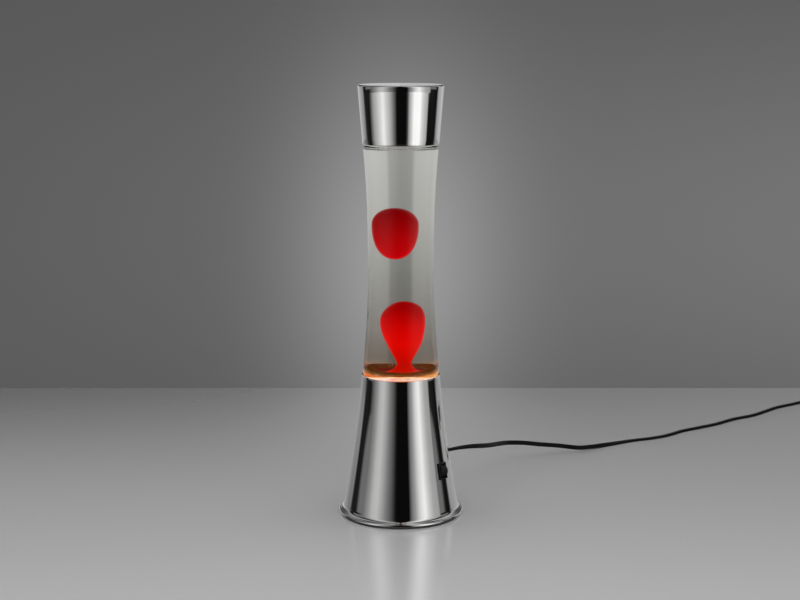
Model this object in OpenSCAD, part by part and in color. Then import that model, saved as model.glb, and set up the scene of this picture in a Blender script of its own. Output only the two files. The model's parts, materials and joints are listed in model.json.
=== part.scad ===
// Mains lava lamp: flared chrome base, waisted glass bottle with wax, tapering chrome cap.
// Millimetres, +Z up, origin at the centre of the footprint on the table.

/* [Overall] */
// Height of the base's upper rim
rim_z = 131.3; // [129:0.1:160]
// Height of the bare glass between base and cap
glass_h = 211; // [175:0.5:260]
// Height of the cap
cap_h = 52.7; // [43:0.1:70]
// Radius of the foot flange
foot_r = 57.5; // [47:0.5:70]
// Radius of the base's upper rim
rim_r = 35.9; // [34:0.1:43.5]

/* [Base shell] */
// Sheet thickness of the spun base
base_wall = 0.8; // [0.6:0.01:1]
// Width of the foot flange
flange_w = 4.6; // [4:0.1:5.6]
// Curve of the flare, 1 is a straight cone
flare_power = 1.3; // [1:0.05:1.6]
// Height where the cone ends and the cove to the flange starts
cone_foot_z = 8.4; // [7.5:0.1:10]
// Gap under the flange that the feet leave
foot_gap = 1; // [0.6:0.1:1.4]

/* [Bottle] */
// Radius of the glass at its waist
waist_r = 29.8; // [24.5:0.1:33]
// Radius of the glass at its shoulder
glass_top_r = 34.36; // [30:0.02:42]
// How far the waist is above the base rim
waist_above_rim = 101; // [90:1:110]
// Wall thickness of the glass
glass_wall = 2.6; // [2:0.02:3.2]
// Thickness of the glass floor
glass_floor = 6.1; // [4:0.1:7]
// Depth of the bottle's bottom below the base rim
bottle_sunk = 3.8; // [3:0.1:6]
// Outside radius of the neck
neck_r = 13; // [10.5:0.1:16]

/* [Cap] */
// Outside radius of the cap at its top
cap_top_r = 38.75; // [32:0.25:47]
// Sheet thickness of the cap
cap_wall = 0.8; // [0.6:0.01:1]
// Radius of the cap's top edge
cap_edge_r = 1.6; // [1:0.1:3]

/* [Bulb and holder] */
// Radius of the reflector bulb
bulb_r = 19.5; // [16:0.1:24]
// Length of the bulb with its screw cap
bulb_len = 67; // [56:1:70]
// Outside radius of the lamp holder
holder_r = 13; // [12:0.1:16]
// Standing height of the holder's bracket above the plate
bracket_h = 24; // [20:0.5:26]

/* [Switch] */
// Angle of the switch round the base, from +X towards the front
switch_angle = 35.5; // [20:0.5:60]
// Height of the switch's centre
switch_z = 46; // [38:0.5:60]
// Length and width of the switch's bezel
bezel = [15, 10.5]; // [8.5:0.1:18]
// How far the rocker turns from one side to the other
rocker_travel = 24; // [16:1:26]

/* [Lead] */
// Width and thickness of the flat lead
lead = [4.6, 2.4]; // [2:0.1:6]

/* [Hidden] */
$fn = 96;

// Clearances
touch = 0.02; // pieces of one body that lie on each other
apart = 0.3; // pieces of different bodies
fit_gap = 0.1; // pieces of one body that are put together by hand

// Base shell
cone_steps = 22;
bead_r = 1.75;
cove_r = 3.7;
cove_end = 250;
bead_in_r = foot_r - 2.6;
cone_foot_r = foot_r - flange_w;
flare = cone_foot_r - rim_r;
cove_c = [cone_foot_r + cove_r, cone_foot_z];

// Base plate and its feet
plate_t = 1.2;
plate_z = foot_gap + 1;
plate_top = plate_z + plate_t;
plate_r = bead_in_r - fit_gap;
foot_ring = plate_r - 9;
foot_pad_r = 6;
foot_stem_r = 2.5;
plate_screw_ring = cone_foot_r - 5.4;
tab_w = 11;
tab_l = 9;
tab_h = 15;
tab_t = 1.2;
tap_r = 1.5; // M3 thread, drawn smooth
tap_gap = 0.05;
screw_head_r = 2.8;
screw_head_h = 1.3;
screw_l = 4;
vent_rows = [[12, foot_ring - 12.8], [6, 11]]; // count and radius of each ring of vents
vent_r = 2.6;
clamp_c = [-2, 33];
clamp_size = [8, 20, 5.4];
clamp_screw_y = 6.8;
clamp_gap = [0.3, 0.2]; // beside and above the lead

// Bottle
bottle_z = rim_z - bottle_sunk;
floor_z = bottle_z + glass_floor;
waist_z = rim_z + waist_above_rim;
cap_z = rim_z + glass_h;
lamp_h = cap_z + cap_h;
shoulder_z = cap_z - 2.1;
shoulder_r = 4;
heel_r = 3.4;
bottle_max_r = rim_r - base_wall - apart;
low_flare = bottle_max_r + 1.1 - waist_r; // growth of the radius 100 mm below the waist
high_power = 2.4;
high_flare = (glass_top_r - waist_r) / pow((shoulder_z - waist_z) / 100, high_power);
inner_corner = 4;
seat_hole_r = bottle_max_r - 7.8;
punt = 1.2; // how far the bottom's middle is pushed up
punt_r = seat_hole_r - 3;
gate_r = 1.5; // shallow marks that the moulding leaves in the middle of the floor
gate_depth = 0.3;
neck_low_z = shoulder_z + 12;
neck_top_z = lamp_h - 18;
neck_bore = neck_r - 2.6;
fill_z = neck_low_z + 6;
liquid_gap = 0.05;
cap_in_r = glass_top_r - shoulder_r + sqrt(pow(shoulder_r, 2) - pow(cap_z - shoulder_z, 2)) + 0.03;

// Seat of the bottle
gasket_t = 1.2;
gasket_top = bottle_z - fit_gap;
seat_z = gasket_top - gasket_t;
seat_t = 1;
seat_skirt = 10;

// Wax
column_x = 2.2;
ball_x = -4;
wax_floor = floor_z + touch;
coil_ring_r = 22;
coil_wire_r = 2;
puddle_r = 18;
neck_wax_r = 4.9;
blob_r = 15.5;
blob_z = floor_z + 46.4;
blob_top = floor_z + 66.1;
ball_r = 16.1;
ball_low = floor_z + 104.8;
ball_wide = floor_z + 135.4;
ball_top = floor_z + 151.8;
ball_gap = 0.3;
curve_steps = 9;

// Crown cap
crown_r = neck_r + 0.9;
crown_t = 0.3;
crown_skirt = 6;
liner_t = 1;

// Bulb and holder
bracket_w = 14;
bracket_t = 1.2;
bracket_top = plate_top + bracket_h;
bulb_low_z = bracket_top + 17.3;
tip_h = 2.5;
tip_r = 2.1;
screw_low = bulb_low_z + tip_h;
screw_len = 17;
screw_r = 6.9;
thread_pitch = 2.82;
bulb_top = bulb_low_z + bulb_len;
bulb_neck_r = 9;
bulb_neck_z = screw_low + screw_len - 1.2;
bulb_glass_t = 0.6;
sleeve_r = screw_r + 0.15;
sleeve_t = 0.4;
bracket_leg = 17;
bracket_foot = 28;
bracket_screw_x = 23;
nipple_r = 4.9;
nipple_bore = 3.6;
nut_r = 8;
nut_h = 4;
holder_low = bracket_top;
holder_top = screw_low + screw_len - 1.6;
sleeve_low = screw_low - 1;
chamber_r = 10.5;
chamber_low = holder_low + 2.6;
chamber_top = chamber_low + 9;
side_screw_z = chamber_low + 5;
terminal_w = 6;
terminal_h = 5;
terminal_y = [4.2, 7.6]; // nearest and farthest face from the axis
post_r = 1.5;
post_gap = 0.1;
disc_r = 3;
disc_t = 0.5;
leg_size = [2, 0.8];

// Switch, in its own frame: x out of the shell, y along it, z up it
bezel_t = 1.4;
switch_depth = 12;
switch_half = [bezel[1] / 2 - 0.85, bezel[0] / 2 - 0.6];
hole_gap = 0.15;
well_half = [switch_half[0] - 0.45, switch_half[1] - 0.45];
well_depth = 5.8;
rocker_half_w = well_half[0] - apart;
rocker_r = well_half[1] - 0.2;
pivot_x = -2.5;
pivot_pin_r = 0.8;
pivot_gap = 0.05;
ridge_x = 4.5;
blade = [7, 4.7, 0.8];
blade_z = 3.6;
blade_gap = 0.1;

// Lead
exit_angle = 50; // from +X towards the back
exit_z = 43.5;
relief_l = 20;
relief_tip_r = 3;
grommet_neck_r = 4.1;
tube_sides = 8;
wire_r = 0.9;
coil_c = [532, 404];
coil_mid_r = 26;
coil_half_w = 9.2;
coil_low = 0.4;
coil_h = 5;
tie_w = 4;
tie_t = 0.3;
tie_angle = 215;
plug_c = [566, 364]; // back of the plug; its pins point towards -Y
plug_size = [35, 36, 13.7];
plug_relief_l = 18;
pin_r = 2;
pin_l = 19;
pin_x = 9.3;
tip_d = cone_r(exit_z) + relief_l;
cord_points = [
    [tip_d * cos(exit_angle), tip_d * sin(exit_angle), exit_z],
    [52, 61, 43], [60, 69, 42], [68, 78, 40.5], [78, 91, 37.5], [89, 112, 32.5], [98, 135, 27.5],
    [108, 156, 23], [120, 170, 19.5], [132, 179, 16.5], [144, 186, 13.5], [156, 194, 10.5],
    [168, 200, 8], [180, 202, 6], [191, 204, 4.6], [203, 213, 3.2], [217, 223, 2.2],
    [233, 234, 1.5], [252, 246, 1.2], [275, 256, 1.2], [294, 268, 1.2], [314, 287, 1.2],
    [334, 301, 1.2], [358, 318, 1.2], [383, 341, 1.2], [407, 357, 1.2], [427, 377, 1.2],
    [446, 397, 1.2], [464, 410, 1.2], [481, 423, 1.2], [498, 432.5, 1.2], [515, 436.8, 1.5],
    [532, 436.6, 1.7]];
tail_points = [[564.9, 404, 4.3], [565.4, 396, 4.8], [565.8, 389, 6], [566, 382, 6.85]];
inner_points = [
    [tip_d * cos(exit_angle), tip_d * sin(exit_angle), exit_z],
    [24.4, 29.1, 43.5], [20.5, 25.5, 41], [18.5, 24, 35], [18, 24.5, 24], [16.5, 27, 13],
    [14, 30.4, 7.4], [9, 32.6, 4.9], [4, 33, 4.5], [-9, 33, 4.5]];
terminal_end = [(terminal_y[0] + terminal_y[1]) / 2, side_screw_z - terminal_h / 2 + 0.5];
live_points = [[-8.8, 33.95, 4.5], [-13, 34.2, 4.8], [-20, 33, 7], [-30, 25, 12], [-34, 8, 20],
    [-33, -10, 27], [-22, -26, 35], [-4, -31, 42], [8, -25, 45], blade_end(1, 5), blade_end(1, 0)];
switched_points = [blade_end(-1, 0), blade_end(-1, 4), [13, -19, 31], [10, -18, 20], [6.5, -13, 13],
    [2, -5, 11.5], [0, -1.7, 15], [0, -1.6, 21], [0, -1.6, 27], [0, -2, chamber_low + 0.6],
    [0, -terminal_end[0] + 0.8, chamber_low + 1.5], [0, -terminal_end[0], terminal_end[1]]];
neutral_points = [[-8.8, 32.05, 4.5], [-13, 31.2, 5], [-16.5, 26, 6.5], [-13, 17, 8], [-6, 9, 9.5],
    [-1, 3.4, 12], [0, 1.6, 17], [0, 1.6, 21], [0, 1.6, 27], [0, 2, chamber_low + 0.6],
    [0, terminal_end[0] - 0.8, chamber_low + 1.5], [0, terminal_end[0], terminal_end[1]]];

// ---- Curves ----
function cone_r(z) = rim_r + flare * pow((rim_z - z) / (rim_z - cone_foot_z), flare_power);
function cone_slope(z) = atan((cone_r(z - 1) - cone_r(z + 1)) / 2);
function arc(c, r, a, b, n) = [for (i = [0:n]) c + r * [cos(a + (b - a) * i / n), sin(a + (b - a) * i / n)]];
function steps(low, high, n) = [for (i = [0:n]) low + (high - low) * i / n];
// A point behind the upper (1) or lower (-1) blade, a distance back from its receptacle's end
function blade_end(side, back) =
    let(s = cone_slope(switch_z), x = -switch_depth - blade[0] - 2 - back, z = side * blade_z,
        d = cone_r(switch_z) + x * cos(s) - z * sin(s))
    [d * cos(switch_angle), -d * sin(switch_angle), switch_z + x * sin(s) + z * cos(s)];
function reverse(list) = [for (i = [len(list) - 1:-1:0]) list[i]];
function bezier(p, t) = pow(1 - t, 3) * p[0] + 3 * t * pow(1 - t, 2) * p[1]
    + 3 * t * t * (1 - t) * p[2] + pow(t, 3) * p[3];
function curve(p, n) = [for (t = steps(0, 1, n)) bezier(p, t)];
function flared(z) = z < waist_z
    ? waist_r + low_flare * pow((waist_z - z) / 100, 2)
    : waist_r + high_flare * pow((z - waist_z) / 100, high_power);
function glass_r(z) = min(flared(z), bottle_max_r - 0.25 * pow(max(0, rim_z + 5 - z) / 5, 2));

// Outer outline of the bottle from its heel to the top of the neck
function bottle_outside() = concat(
    [[punt_r, bottle_z + punt], [punt_r + 3, bottle_z]],
    arc([glass_r(bottle_z + heel_r) - heel_r, bottle_z + heel_r], heel_r, -90, 0, 6),
    [for (z = steps(bottle_z + heel_r + 1, shoulder_z - 1, 30)) [glass_r(z), z]],
    arc([glass_r(shoulder_z) - shoulder_r, shoulder_z], shoulder_r, 0, 75, 6),
    curve([[neck_r + 11, shoulder_z + 5.4], [neck_r + 3, shoulder_z + 7], [neck_r, shoulder_z + 8],
        [neck_r, neck_low_z]], 6),
    [[neck_r, neck_top_z]]);

// Inner outline from the floor's middle to a height in the neck, drawn in by a gap
function bottle_inside(top, gap) = concat(
    [[0, floor_z + gap]],
    arc([glass_r(floor_z) - glass_wall - inner_corner, floor_z + inner_corner],
        inner_corner - gap, -90, 0, 6),
    [for (z = steps(floor_z + inner_corner + 1, shoulder_z - 4, 28)) [glass_r(z) - glass_wall - gap, z]],
    arc([glass_r(shoulder_z) - glass_wall - 3, shoulder_z - 3], 3 - gap, 0, 75, 5),
    curve([[neck_r + 8, shoulder_z + 2.4], [neck_r + 1, shoulder_z + 4], [neck_bore - gap, shoulder_z + 6],
        [neck_bore - gap, neck_low_z]], 6),
    [[neck_bore - gap, top], [0, top]]);

// Half outline of the rising wax, drawn out by a gap
function column_outline(gap) = concat(
    [[0, wax_floor - gap], [puddle_r + gap, wax_floor - gap], [puddle_r + gap, wax_floor + 1.2 + gap]],
    curve([[puddle_r - 1 + gap, wax_floor + 1.8 + gap], [8 + gap, wax_floor + 2.6 + gap],
        [neck_wax_r + gap, wax_floor + 5], [neck_wax_r + gap, wax_floor + 8.9]], curve_steps),
    curve([[neck_wax_r + gap, wax_floor + 9.2], [neck_wax_r + 0.3 + gap, wax_floor + 16.4],
        [blob_r + gap, wax_floor + 27.4], [blob_r + gap, blob_z]], curve_steps + 3),
    curve([[blob_r + gap, blob_z + 0.3], [blob_r + gap, blob_z + 11], [9, blob_top + gap],
        [0, blob_top + gap]], curve_steps));

// Half outline of the floating ball, drawn out by a gap
function ball_outline(gap) = concat(
    curve([[0, ball_low - gap], [9, ball_low - gap], [ball_r + gap, ball_low + 14.6],
        [ball_r + gap, ball_wide]], curve_steps + 3),
    curve([[ball_r + gap, ball_wide + 0.3], [ball_r + gap, ball_wide + 9], [9.5, ball_top + gap],
        [0, ball_top + gap]], curve_steps));

// ---- Helpers ----
module ring(r_in, r_out, low, h) {
    translate([0, 0, low]) difference() {
        cylinder(r = r_out, h = h);
        translate([0, 0, -1]) cylinder(r = r_in, h = h + 2);
    }
}

module around(count, radius, first = 0) {
    for (i = [0:count - 1]) rotate([0, 0, first + i * 360 / count]) translate([radius, 0, 0]) children();
}

// A pan-head screw whose head's underside is at z = 0, pointing up
module screw_up(shank_r, shank_l, head_r, head_h) {
    translate([0, 0, -head_h]) difference() {
        cylinder(r = head_r, h = head_h);
        translate([-head_r, -0.3, -1]) cube([2 * head_r, 0.6, 1.5]);
    }
    cylinder(r = shank_r, h = shank_l);
}

// The band between two offsets from the cone's outside
module cone_band(low, high, inner, outer) {
    rotate_extrude() polygon(concat(
        [for (z = steps(low, high, cone_steps)) [cone_r(z) + outer, z]],
        [for (z = steps(high, low, cone_steps)) [cone_r(z) + inner, z]]));
}

module at_switch() {
    rotate([0, 0, -switch_angle])
        translate([cone_r(switch_z), 0, switch_z])
        rotate([0, -cone_slope(switch_z), 0])
        children();
}

module at_exit() {
    rotate([0, 0, exit_angle]) translate([0, 0, exit_z]) rotate([0, 90, 0]) children();
}

// Points of a smooth line through hand-placed points
function spline(p, per) = concat(
    [for (i = [0:len(p) - 2], k = [0:per - 1])
        let(t = k / per, a = p[max(i - 1, 0)], b = p[i], c = p[i + 1], d = p[min(i + 2, len(p) - 1)])
        0.5 * (2 * b + (c - a) * t + (2 * a - 5 * b + 4 * c - d) * t * t
            + (3 * b - a - 3 * c + d) * t * t * t)],
    [p[len(p) - 1]]);
function unit(v) = v / norm(v);
function heading(p, i) = unit(p[min(i + 1, len(p) - 1)] - p[max(i - 1, 0)]);

// A bar of elliptical section swept along points, its wide side lying across a reference direction
module swept(p, half_w, half_h, across = [0, 0, 1]) {
    n = len(p);
    s = tube_sides;
    rings = [for (i = [0:n - 1])
        let(t = heading(p, i), side = unit(cross(across, t)), up = cross(t, side))
        for (k = [0:s - 1])
            p[i] + side * half_w * cos((k + 0.5) * 360 / s) + up * half_h * sin((k + 0.5) * 360 / s)];
    polyhedron(rings, concat(
        [[for (k = [0:s - 1]) k]],
        [for (i = [0:n - 2], k = [0:s - 1]) [i * s + k, (i + 1) * s + k, (i + 1) * s + (k + 1) % s]],
        [for (i = [0:n - 2], k = [0:s - 1]) [i * s + k, (i + 1) * s + (k + 1) % s, i * s + (k + 1) % s]],
        [[for (k = [s - 1:-1:0]) (n - 1) * s + k]]));
}

// ---- Base ----
module base_shell() {
    color("silver") difference() {
        rotate_extrude() polygon(concat(
            [[bead_in_r, foot_gap]],
            arc([foot_r - bead_r, foot_gap + bead_r], bead_r, -90, 90, 10),
            arc(cove_c, cove_r, cove_end, 180, 6),
            [for (z = steps(cone_foot_z + 1, rim_z, cone_steps)) [cone_r(z), z]],
            [for (z = steps(rim_z, cone_foot_z + 1, cone_steps)) [cone_r(z) - base_wall, z]],
            arc(cove_c, cove_r + base_wall, 180, cove_end, 6),
            [[bead_in_r, foot_gap + bead_r]]));
        at_switch() translate([-6, -switch_half[0] - hole_gap, -switch_half[1] - hole_gap])
            cube([12, 2 * (switch_half[0] + hole_gap), 2 * (switch_half[1] + hole_gap)]);
        at_exit() translate([0, 0, cone_r(exit_z) - 8]) cylinder(r = grommet_neck_r + fit_gap, h = 15);
    }
}

module globe_seat() {
    low = seat_z - seat_t - seat_skirt;
    color("gainsboro") union() {
        ring(seat_hole_r, cone_r(seat_z) - base_wall - 1.2, seat_z - seat_t, seat_t);
        cone_band(low, seat_z, -base_wall - 1.4, -base_wall - touch);
    }
}

module seat_gasket() {
    color("whitesmoke") ring(seat_hole_r + 1.5, bottle_max_r - 1, seat_z, gasket_t);
}

module base_plate() {
    color("dimgray") difference() {
        translate([0, 0, plate_z]) cylinder(r = plate_r, h = plate_t);
        for (row = vent_rows) around(row[0], row[1]) translate([0, 0, -1]) cylinder(r = vent_r, h = 9);
        around(4, foot_ring, 45) translate([0, 0, -1]) cylinder(r = foot_stem_r + fit_gap, h = 9);
        around(3, plate_screw_ring) translate([0, 0, -1]) cylinder(r = tap_r + fit_gap, h = 9);
        for (x = [-1, 1]) translate([x * bracket_screw_x, 0, -1]) cylinder(r = tap_r + fit_gap, h = 9);
        for (y = [-1, 1]) translate([clamp_c[0], clamp_c[1] + y * clamp_screw_y, -1])
            cylinder(r = tap_r + fit_gap, h = 9);
    }
}

module plate_brackets() {
    color("silver") for (i = [0:2]) rotate([0, 0, i * 120]) difference() {
        union() {
            translate([cone_r(plate_top + 7) - base_wall - 1 - tab_l, -tab_w / 2, plate_top])
                cube([tab_l, tab_w, tab_t]);
            intersection() {
                cone_band(cone_foot_z + 1, 40, -base_wall - touch - tab_t, -base_wall - touch);
                translate([cone_foot_r - 23, -tab_w / 2, cone_foot_z]) cube([30, tab_w, tab_h]);
            }
            translate([cone_r(cone_foot_z + 2) - base_wall - 1.6 - tab_t, -tab_w / 2, plate_top])
                cube([tab_t, tab_w, 9]);
        }
        translate([plate_screw_ring, 0, -1]) cylinder(r = tap_r, h = 12);
    }
}

module plate_screws() {
    color("lightgray") around(3, plate_screw_ring) translate([0, 0, plate_z])
        screw_up(tap_r - tap_gap, screw_l, screw_head_r, screw_head_h);
}

module rubber_feet() {
    color("dimgray") around(4, foot_ring, 45) {
        cylinder(r = foot_pad_r, h = plate_z);
        cylinder(r = foot_stem_r, h = plate_top + 1);
        translate([0, 0, plate_top]) cylinder(r1 = foot_stem_r + 0.9, r2 = foot_stem_r, h = 2);
    }
}

// ---- Lamp holder ----
module holder_bracket() {
    color("gainsboro") difference() {
        translate([0, bracket_w / 2, 0]) rotate([90, 0, 0]) linear_extrude(bracket_w) {
            translate([-bracket_leg, bracket_top - bracket_t]) square([2 * bracket_leg, bracket_t]);
            for (x = [-1, 1]) {
                translate([x * (bracket_leg - bracket_t / 2) - bracket_t / 2, plate_top])
                    square([bracket_t, bracket_h]);
                translate([x > 0 ? bracket_leg - bracket_t : -bracket_foot, plate_top])
                    square([bracket_foot - bracket_leg + bracket_t, bracket_t]);
            }
        }
        translate([0, 0, bracket_top - 9]) cylinder(r = nipple_r + fit_gap, h = 12);
        for (x = [-1, 1]) translate([x * bracket_screw_x, 0, plate_z]) cylinder(r = tap_r, h = 9);
    }
}

module bracket_screws() {
    color("lightgray") for (x = [-1, 1]) translate([x * bracket_screw_x, 0, plate_z])
        screw_up(tap_r - tap_gap, screw_l, screw_head_r, screw_head_h);
}

module holder_nipple() {
    color("gainsboro") ring(nipple_bore, nipple_r, bracket_top - bracket_t - nut_h - 1,
        bracket_t + nut_h + 1 + 2.6);
}

module holder_nut() {
    color("gainsboro") translate([0, 0, bracket_top - bracket_t - nut_h]) difference() {
        cylinder(r = nut_r, h = nut_h, $fn = 6);
        translate([0, 0, -1]) cylinder(r = nipple_r + tap_gap, h = nut_h + 2);
    }
}

module holder_body() {
    color("ivory") difference() {
        translate([0, 0, holder_low]) cylinder(r = holder_r, h = holder_top - holder_low);
        translate([0, 0, sleeve_low - touch])
            cylinder(r = sleeve_r + sleeve_t + tap_gap, h = 40);
        translate([0, 0, chamber_low]) cylinder(r = chamber_r, h = chamber_top - chamber_low);
        translate([0, 0, holder_low - 1]) cylinder(r = nipple_r + tap_gap, h = 6);
        translate([0, 0, chamber_top - 1]) cylinder(r = post_r + post_gap, h = 20);
        translate([0, 0, bulb_low_z - apart - disc_t - post_gap]) cylinder(r = disc_r + 1, h = 20);
        translate([-leg_size[0] / 2 - post_gap, terminal_y[0] + 1 - post_gap, chamber_top - 1])
            cube([leg_size[0] + 2 * post_gap, leg_size[1] + 2 * post_gap, 20]);
        for (y = [-1, 1]) translate([0, 0, side_screw_z]) rotate([-90 * y, 0, 0])
            cylinder(r = 2.9, h = holder_r + 1);
    }
}

// A block with a tapped hole for one terminal screw, on the side y > 0
module terminal_block() {
    low = side_screw_z - terminal_h / 2;
    difference() {
        translate([-terminal_w / 2, terminal_y[0], low])
            cube([terminal_w, terminal_y[1] - terminal_y[0], terminal_h]);
        translate([0, 0, side_screw_z]) rotate([-90, 0, 0]) cylinder(r = tap_r, h = holder_r);
    }
}

module holder_sleeve() {
    color("gold") {
        ring(sleeve_r, sleeve_r + sleeve_t, sleeve_low, holder_top - sleeve_low - 1);
        ring(disc_r + 1.5, sleeve_r + sleeve_t, sleeve_low, disc_t);
        translate([-leg_size[0] / 2, terminal_y[0] + 1, side_screw_z + terminal_h / 2 - touch])
            cube([leg_size[0], leg_size[1], sleeve_low + disc_t - side_screw_z - terminal_h / 2 + touch]);
        terminal_block();
    }
}

module holder_contact() {
    bridge_z = side_screw_z + terminal_h / 2 - 1;
    color("gold") {
        translate([0, 0, bridge_z]) cylinder(r = post_r, h = bulb_low_z - apart - bridge_z);
        translate([0, 0, bulb_low_z - apart - disc_t]) cylinder(r = disc_r, h = disc_t);
        translate([-terminal_w / 2, -terminal_y[1], bridge_z]) cube([terminal_w, terminal_y[1] + post_r, 1]);
        mirror([0, 1, 0]) terminal_block();
    }
}

module holder_screws() {
    color("lightgray") for (y = [-1, 1]) translate([0, 0, side_screw_z]) rotate([-90 * y, 0, 0])
        translate([0, 0, terminal_y[0] - 0.8]) {
            cylinder(r = tap_r - tap_gap, h = 6);
            translate([0, 0, 5]) cylinder(r = 2.6, h = 1.6);
        }
}

// ---- Switch ----
module switch_body() {
    at_switch() color("black") difference() {
        union() {
            translate([0, -bezel[1] / 2, -bezel[0] / 2]) cube([bezel_t, bezel[1], bezel[0]]);
            translate([-switch_depth, -switch_half[0], -switch_half[1]])
                cube([switch_depth + 1, 2 * switch_half[0], 2 * switch_half[1]]);
        }
        translate([-well_depth, -well_half[0], -well_half[1]])
            cube([well_depth + bezel_t + 1, 2 * well_half[0], 2 * well_half[1]]);
        translate([pivot_x, 0, 0]) rotate([90, 0, 0])
            cylinder(r = pivot_pin_r + pivot_gap, h = 2 * bezel[1], center = true);
    }
}

// Side outline of the rocker: a low roof whose ends are round about the pivot
module rocker_outline() {
    intersection() {
        translate([pivot_x, 0]) circle(r = rocker_r);
        polygon([[ridge_x, -0.5], [ridge_x, 0.5], [1.1, rocker_r], [-2.4, 0.7 * rocker_r],
            [-4.5, 0.4 * rocker_r], [-4.5, -0.4 * rocker_r], [-2.4, -0.7 * rocker_r], [1.1, -rocker_r]]);
    }
}

module switch_rocker() {
    at_switch() color("black") translate([pivot_x, 0, 0]) rotate([0, -rocker_travel / 2, 0])
        translate([-pivot_x, 0, 0]) {
            translate([0, rocker_half_w, 0]) rotate([90, 0, 0])
                linear_extrude(2 * rocker_half_w) rocker_outline();
            translate([pivot_x, 0, 0]) rotate([90, 0, 0])
                cylinder(r = pivot_pin_r, h = 2 * switch_half[0] - 0.1, center = true);
        }
}

module switch_terminals() {
    at_switch() color("silver") for (z = [-1, 1])
        translate([-switch_depth - blade[0], -blade[1] / 2, z * blade_z - blade[2] / 2]) cube(blade);
}

module terminal_sleeves() {
    at_switch() color("gold") for (z = [-1, 1]) difference() {
        translate([-switch_depth - blade[0] - 3, -blade[1] / 2 - 0.7, z * blade_z - 1.2])
            cube([blade[0] + 2, blade[1] + 1.4, 2.4]);
        translate([-switch_depth - blade[0] - 0.1, -blade[1] / 2 - blade_gap,
            z * blade_z - blade[2] / 2 - blade_gap])
            cube([blade[0] + 9, blade[1] + 2 * blade_gap, blade[2] + 2 * blade_gap]);
    }
}

// ---- Lead inside the base ----
module flat_hole(length) {
    linear_extrude(length) union() {
        square([lead[1] + 0.1, lead[0] - lead[1]], center = true);
        for (y = [-1, 1]) translate([0, y * (lead[0] - lead[1]) / 2]) circle(d = lead[1] + 0.1);
    }
}

module cord_grommet() {
    wall = cone_r(exit_z);
    color("black") difference() {
        union() {
            intersection() {
                at_exit() translate([0, 0, 30]) cylinder(r = 6.2, h = 30);
                cone_band(30, 57, touch, 1.6);
            }
            intersection() {
                at_exit() translate([0, 0, 30]) cylinder(r = 5.4, h = 30);
                cone_band(30, 57, -base_wall - 1.5, -base_wall - touch);
            }
            at_exit() translate([0, 0, wall - 3]) cylinder(r = grommet_neck_r, h = 4);
            at_exit() translate([0, 0, wall]) cylinder(r1 = grommet_neck_r, r2 = relief_tip_r, h = relief_l);
        }
        at_exit() translate([0, 0, wall - 6]) flat_hole(relief_l + 7);
    }
}

module cord_inner() {
    color("black") swept(spline(inner_points, 3), lead[0] / 2 - 0.05, lead[1] / 2 - 0.05);
}

module cord_clamp() {
    color("ivory") translate([clamp_c[0], clamp_c[1], plate_top]) difference() {
        translate([-clamp_size[0] / 2, -clamp_size[1] / 2, 0]) cube(clamp_size);
        translate([-clamp_size[0], -lead[0] / 2 - clamp_gap[0], -1])
            cube([2 * clamp_size[0], lead[0] + 2 * clamp_gap[0], lead[1] + clamp_gap[1] + 1]);
        for (y = [-1, 1]) translate([0, y * clamp_screw_y, -1]) cylinder(r = tap_r, h = screw_l);
    }
}

module clamp_screws() {
    color("lightgray") for (y = [-1, 1]) translate([clamp_c[0], clamp_c[1] + y * clamp_screw_y, plate_z])
        screw_up(tap_r - tap_gap, screw_l, screw_head_r, screw_head_h);
}

module wire(points) {
    swept(spline(points, 3), wire_r, wire_r, [0.31, 0.17, 0.94]);
}

module lead_live() {
    color("saddlebrown") wire(live_points);
}

module lead_switched() {
    color("saddlebrown") wire(switched_points);
}

module lead_neutral() {
    color("steelblue") wire(neutral_points);
}

// ---- Lead outside ----
module cord_run() {
    color("black") swept(spline(cord_points, 2), lead[0] / 2, lead[1] / 2);
}

module cord_coil() {
    low = coil_low;
    color("black") translate([coil_c[0], coil_c[1], 0]) rotate_extrude() polygon(concat(
        arc([coil_mid_r + coil_half_w - 1.2, low + 1.2], 1.2, -90, 0, 3),
        arc([coil_mid_r + coil_half_w - 1.2, low + coil_h - 1.2], 1.2, 0, 90, 3),
        arc([coil_mid_r - coil_half_w + 1.2, low + coil_h - 1.2], 1.2, 90, 180, 3),
        arc([coil_mid_r - coil_half_w + 1.2, low + 1.2], 1.2, 180, 270, 3)));
}

module cord_tail() {
    color("black") swept(spline(tail_points, 3), lead[0] / 2, lead[1] / 2);
}

module cord_tie() {
    reach = coil_half_w + 0.1;
    color("dimgray") translate([coil_c[0], coil_c[1], 0]) rotate([0, 0, tie_angle]) {
        difference() {
            translate([coil_mid_r - reach - tie_t, -tie_w / 2, 0])
                cube([2 * (reach + tie_t), tie_w, coil_low + coil_h + 0.1 + tie_t]);
            translate([coil_mid_r - reach, -tie_w, tie_t])
                cube([2 * reach, 2 * tie_w, coil_low + coil_h + 0.1 - tie_t]);
        }
        translate([coil_mid_r - 1, 0, coil_low + coil_h + tie_t]) rotate([0, 70, 30]) cylinder(r = 0.8, h = 16);
    }
}

module at_plug() {
    translate([plug_c[0], plug_c[1], 0]) rotate([0, 0, 180]) children();
}

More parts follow.
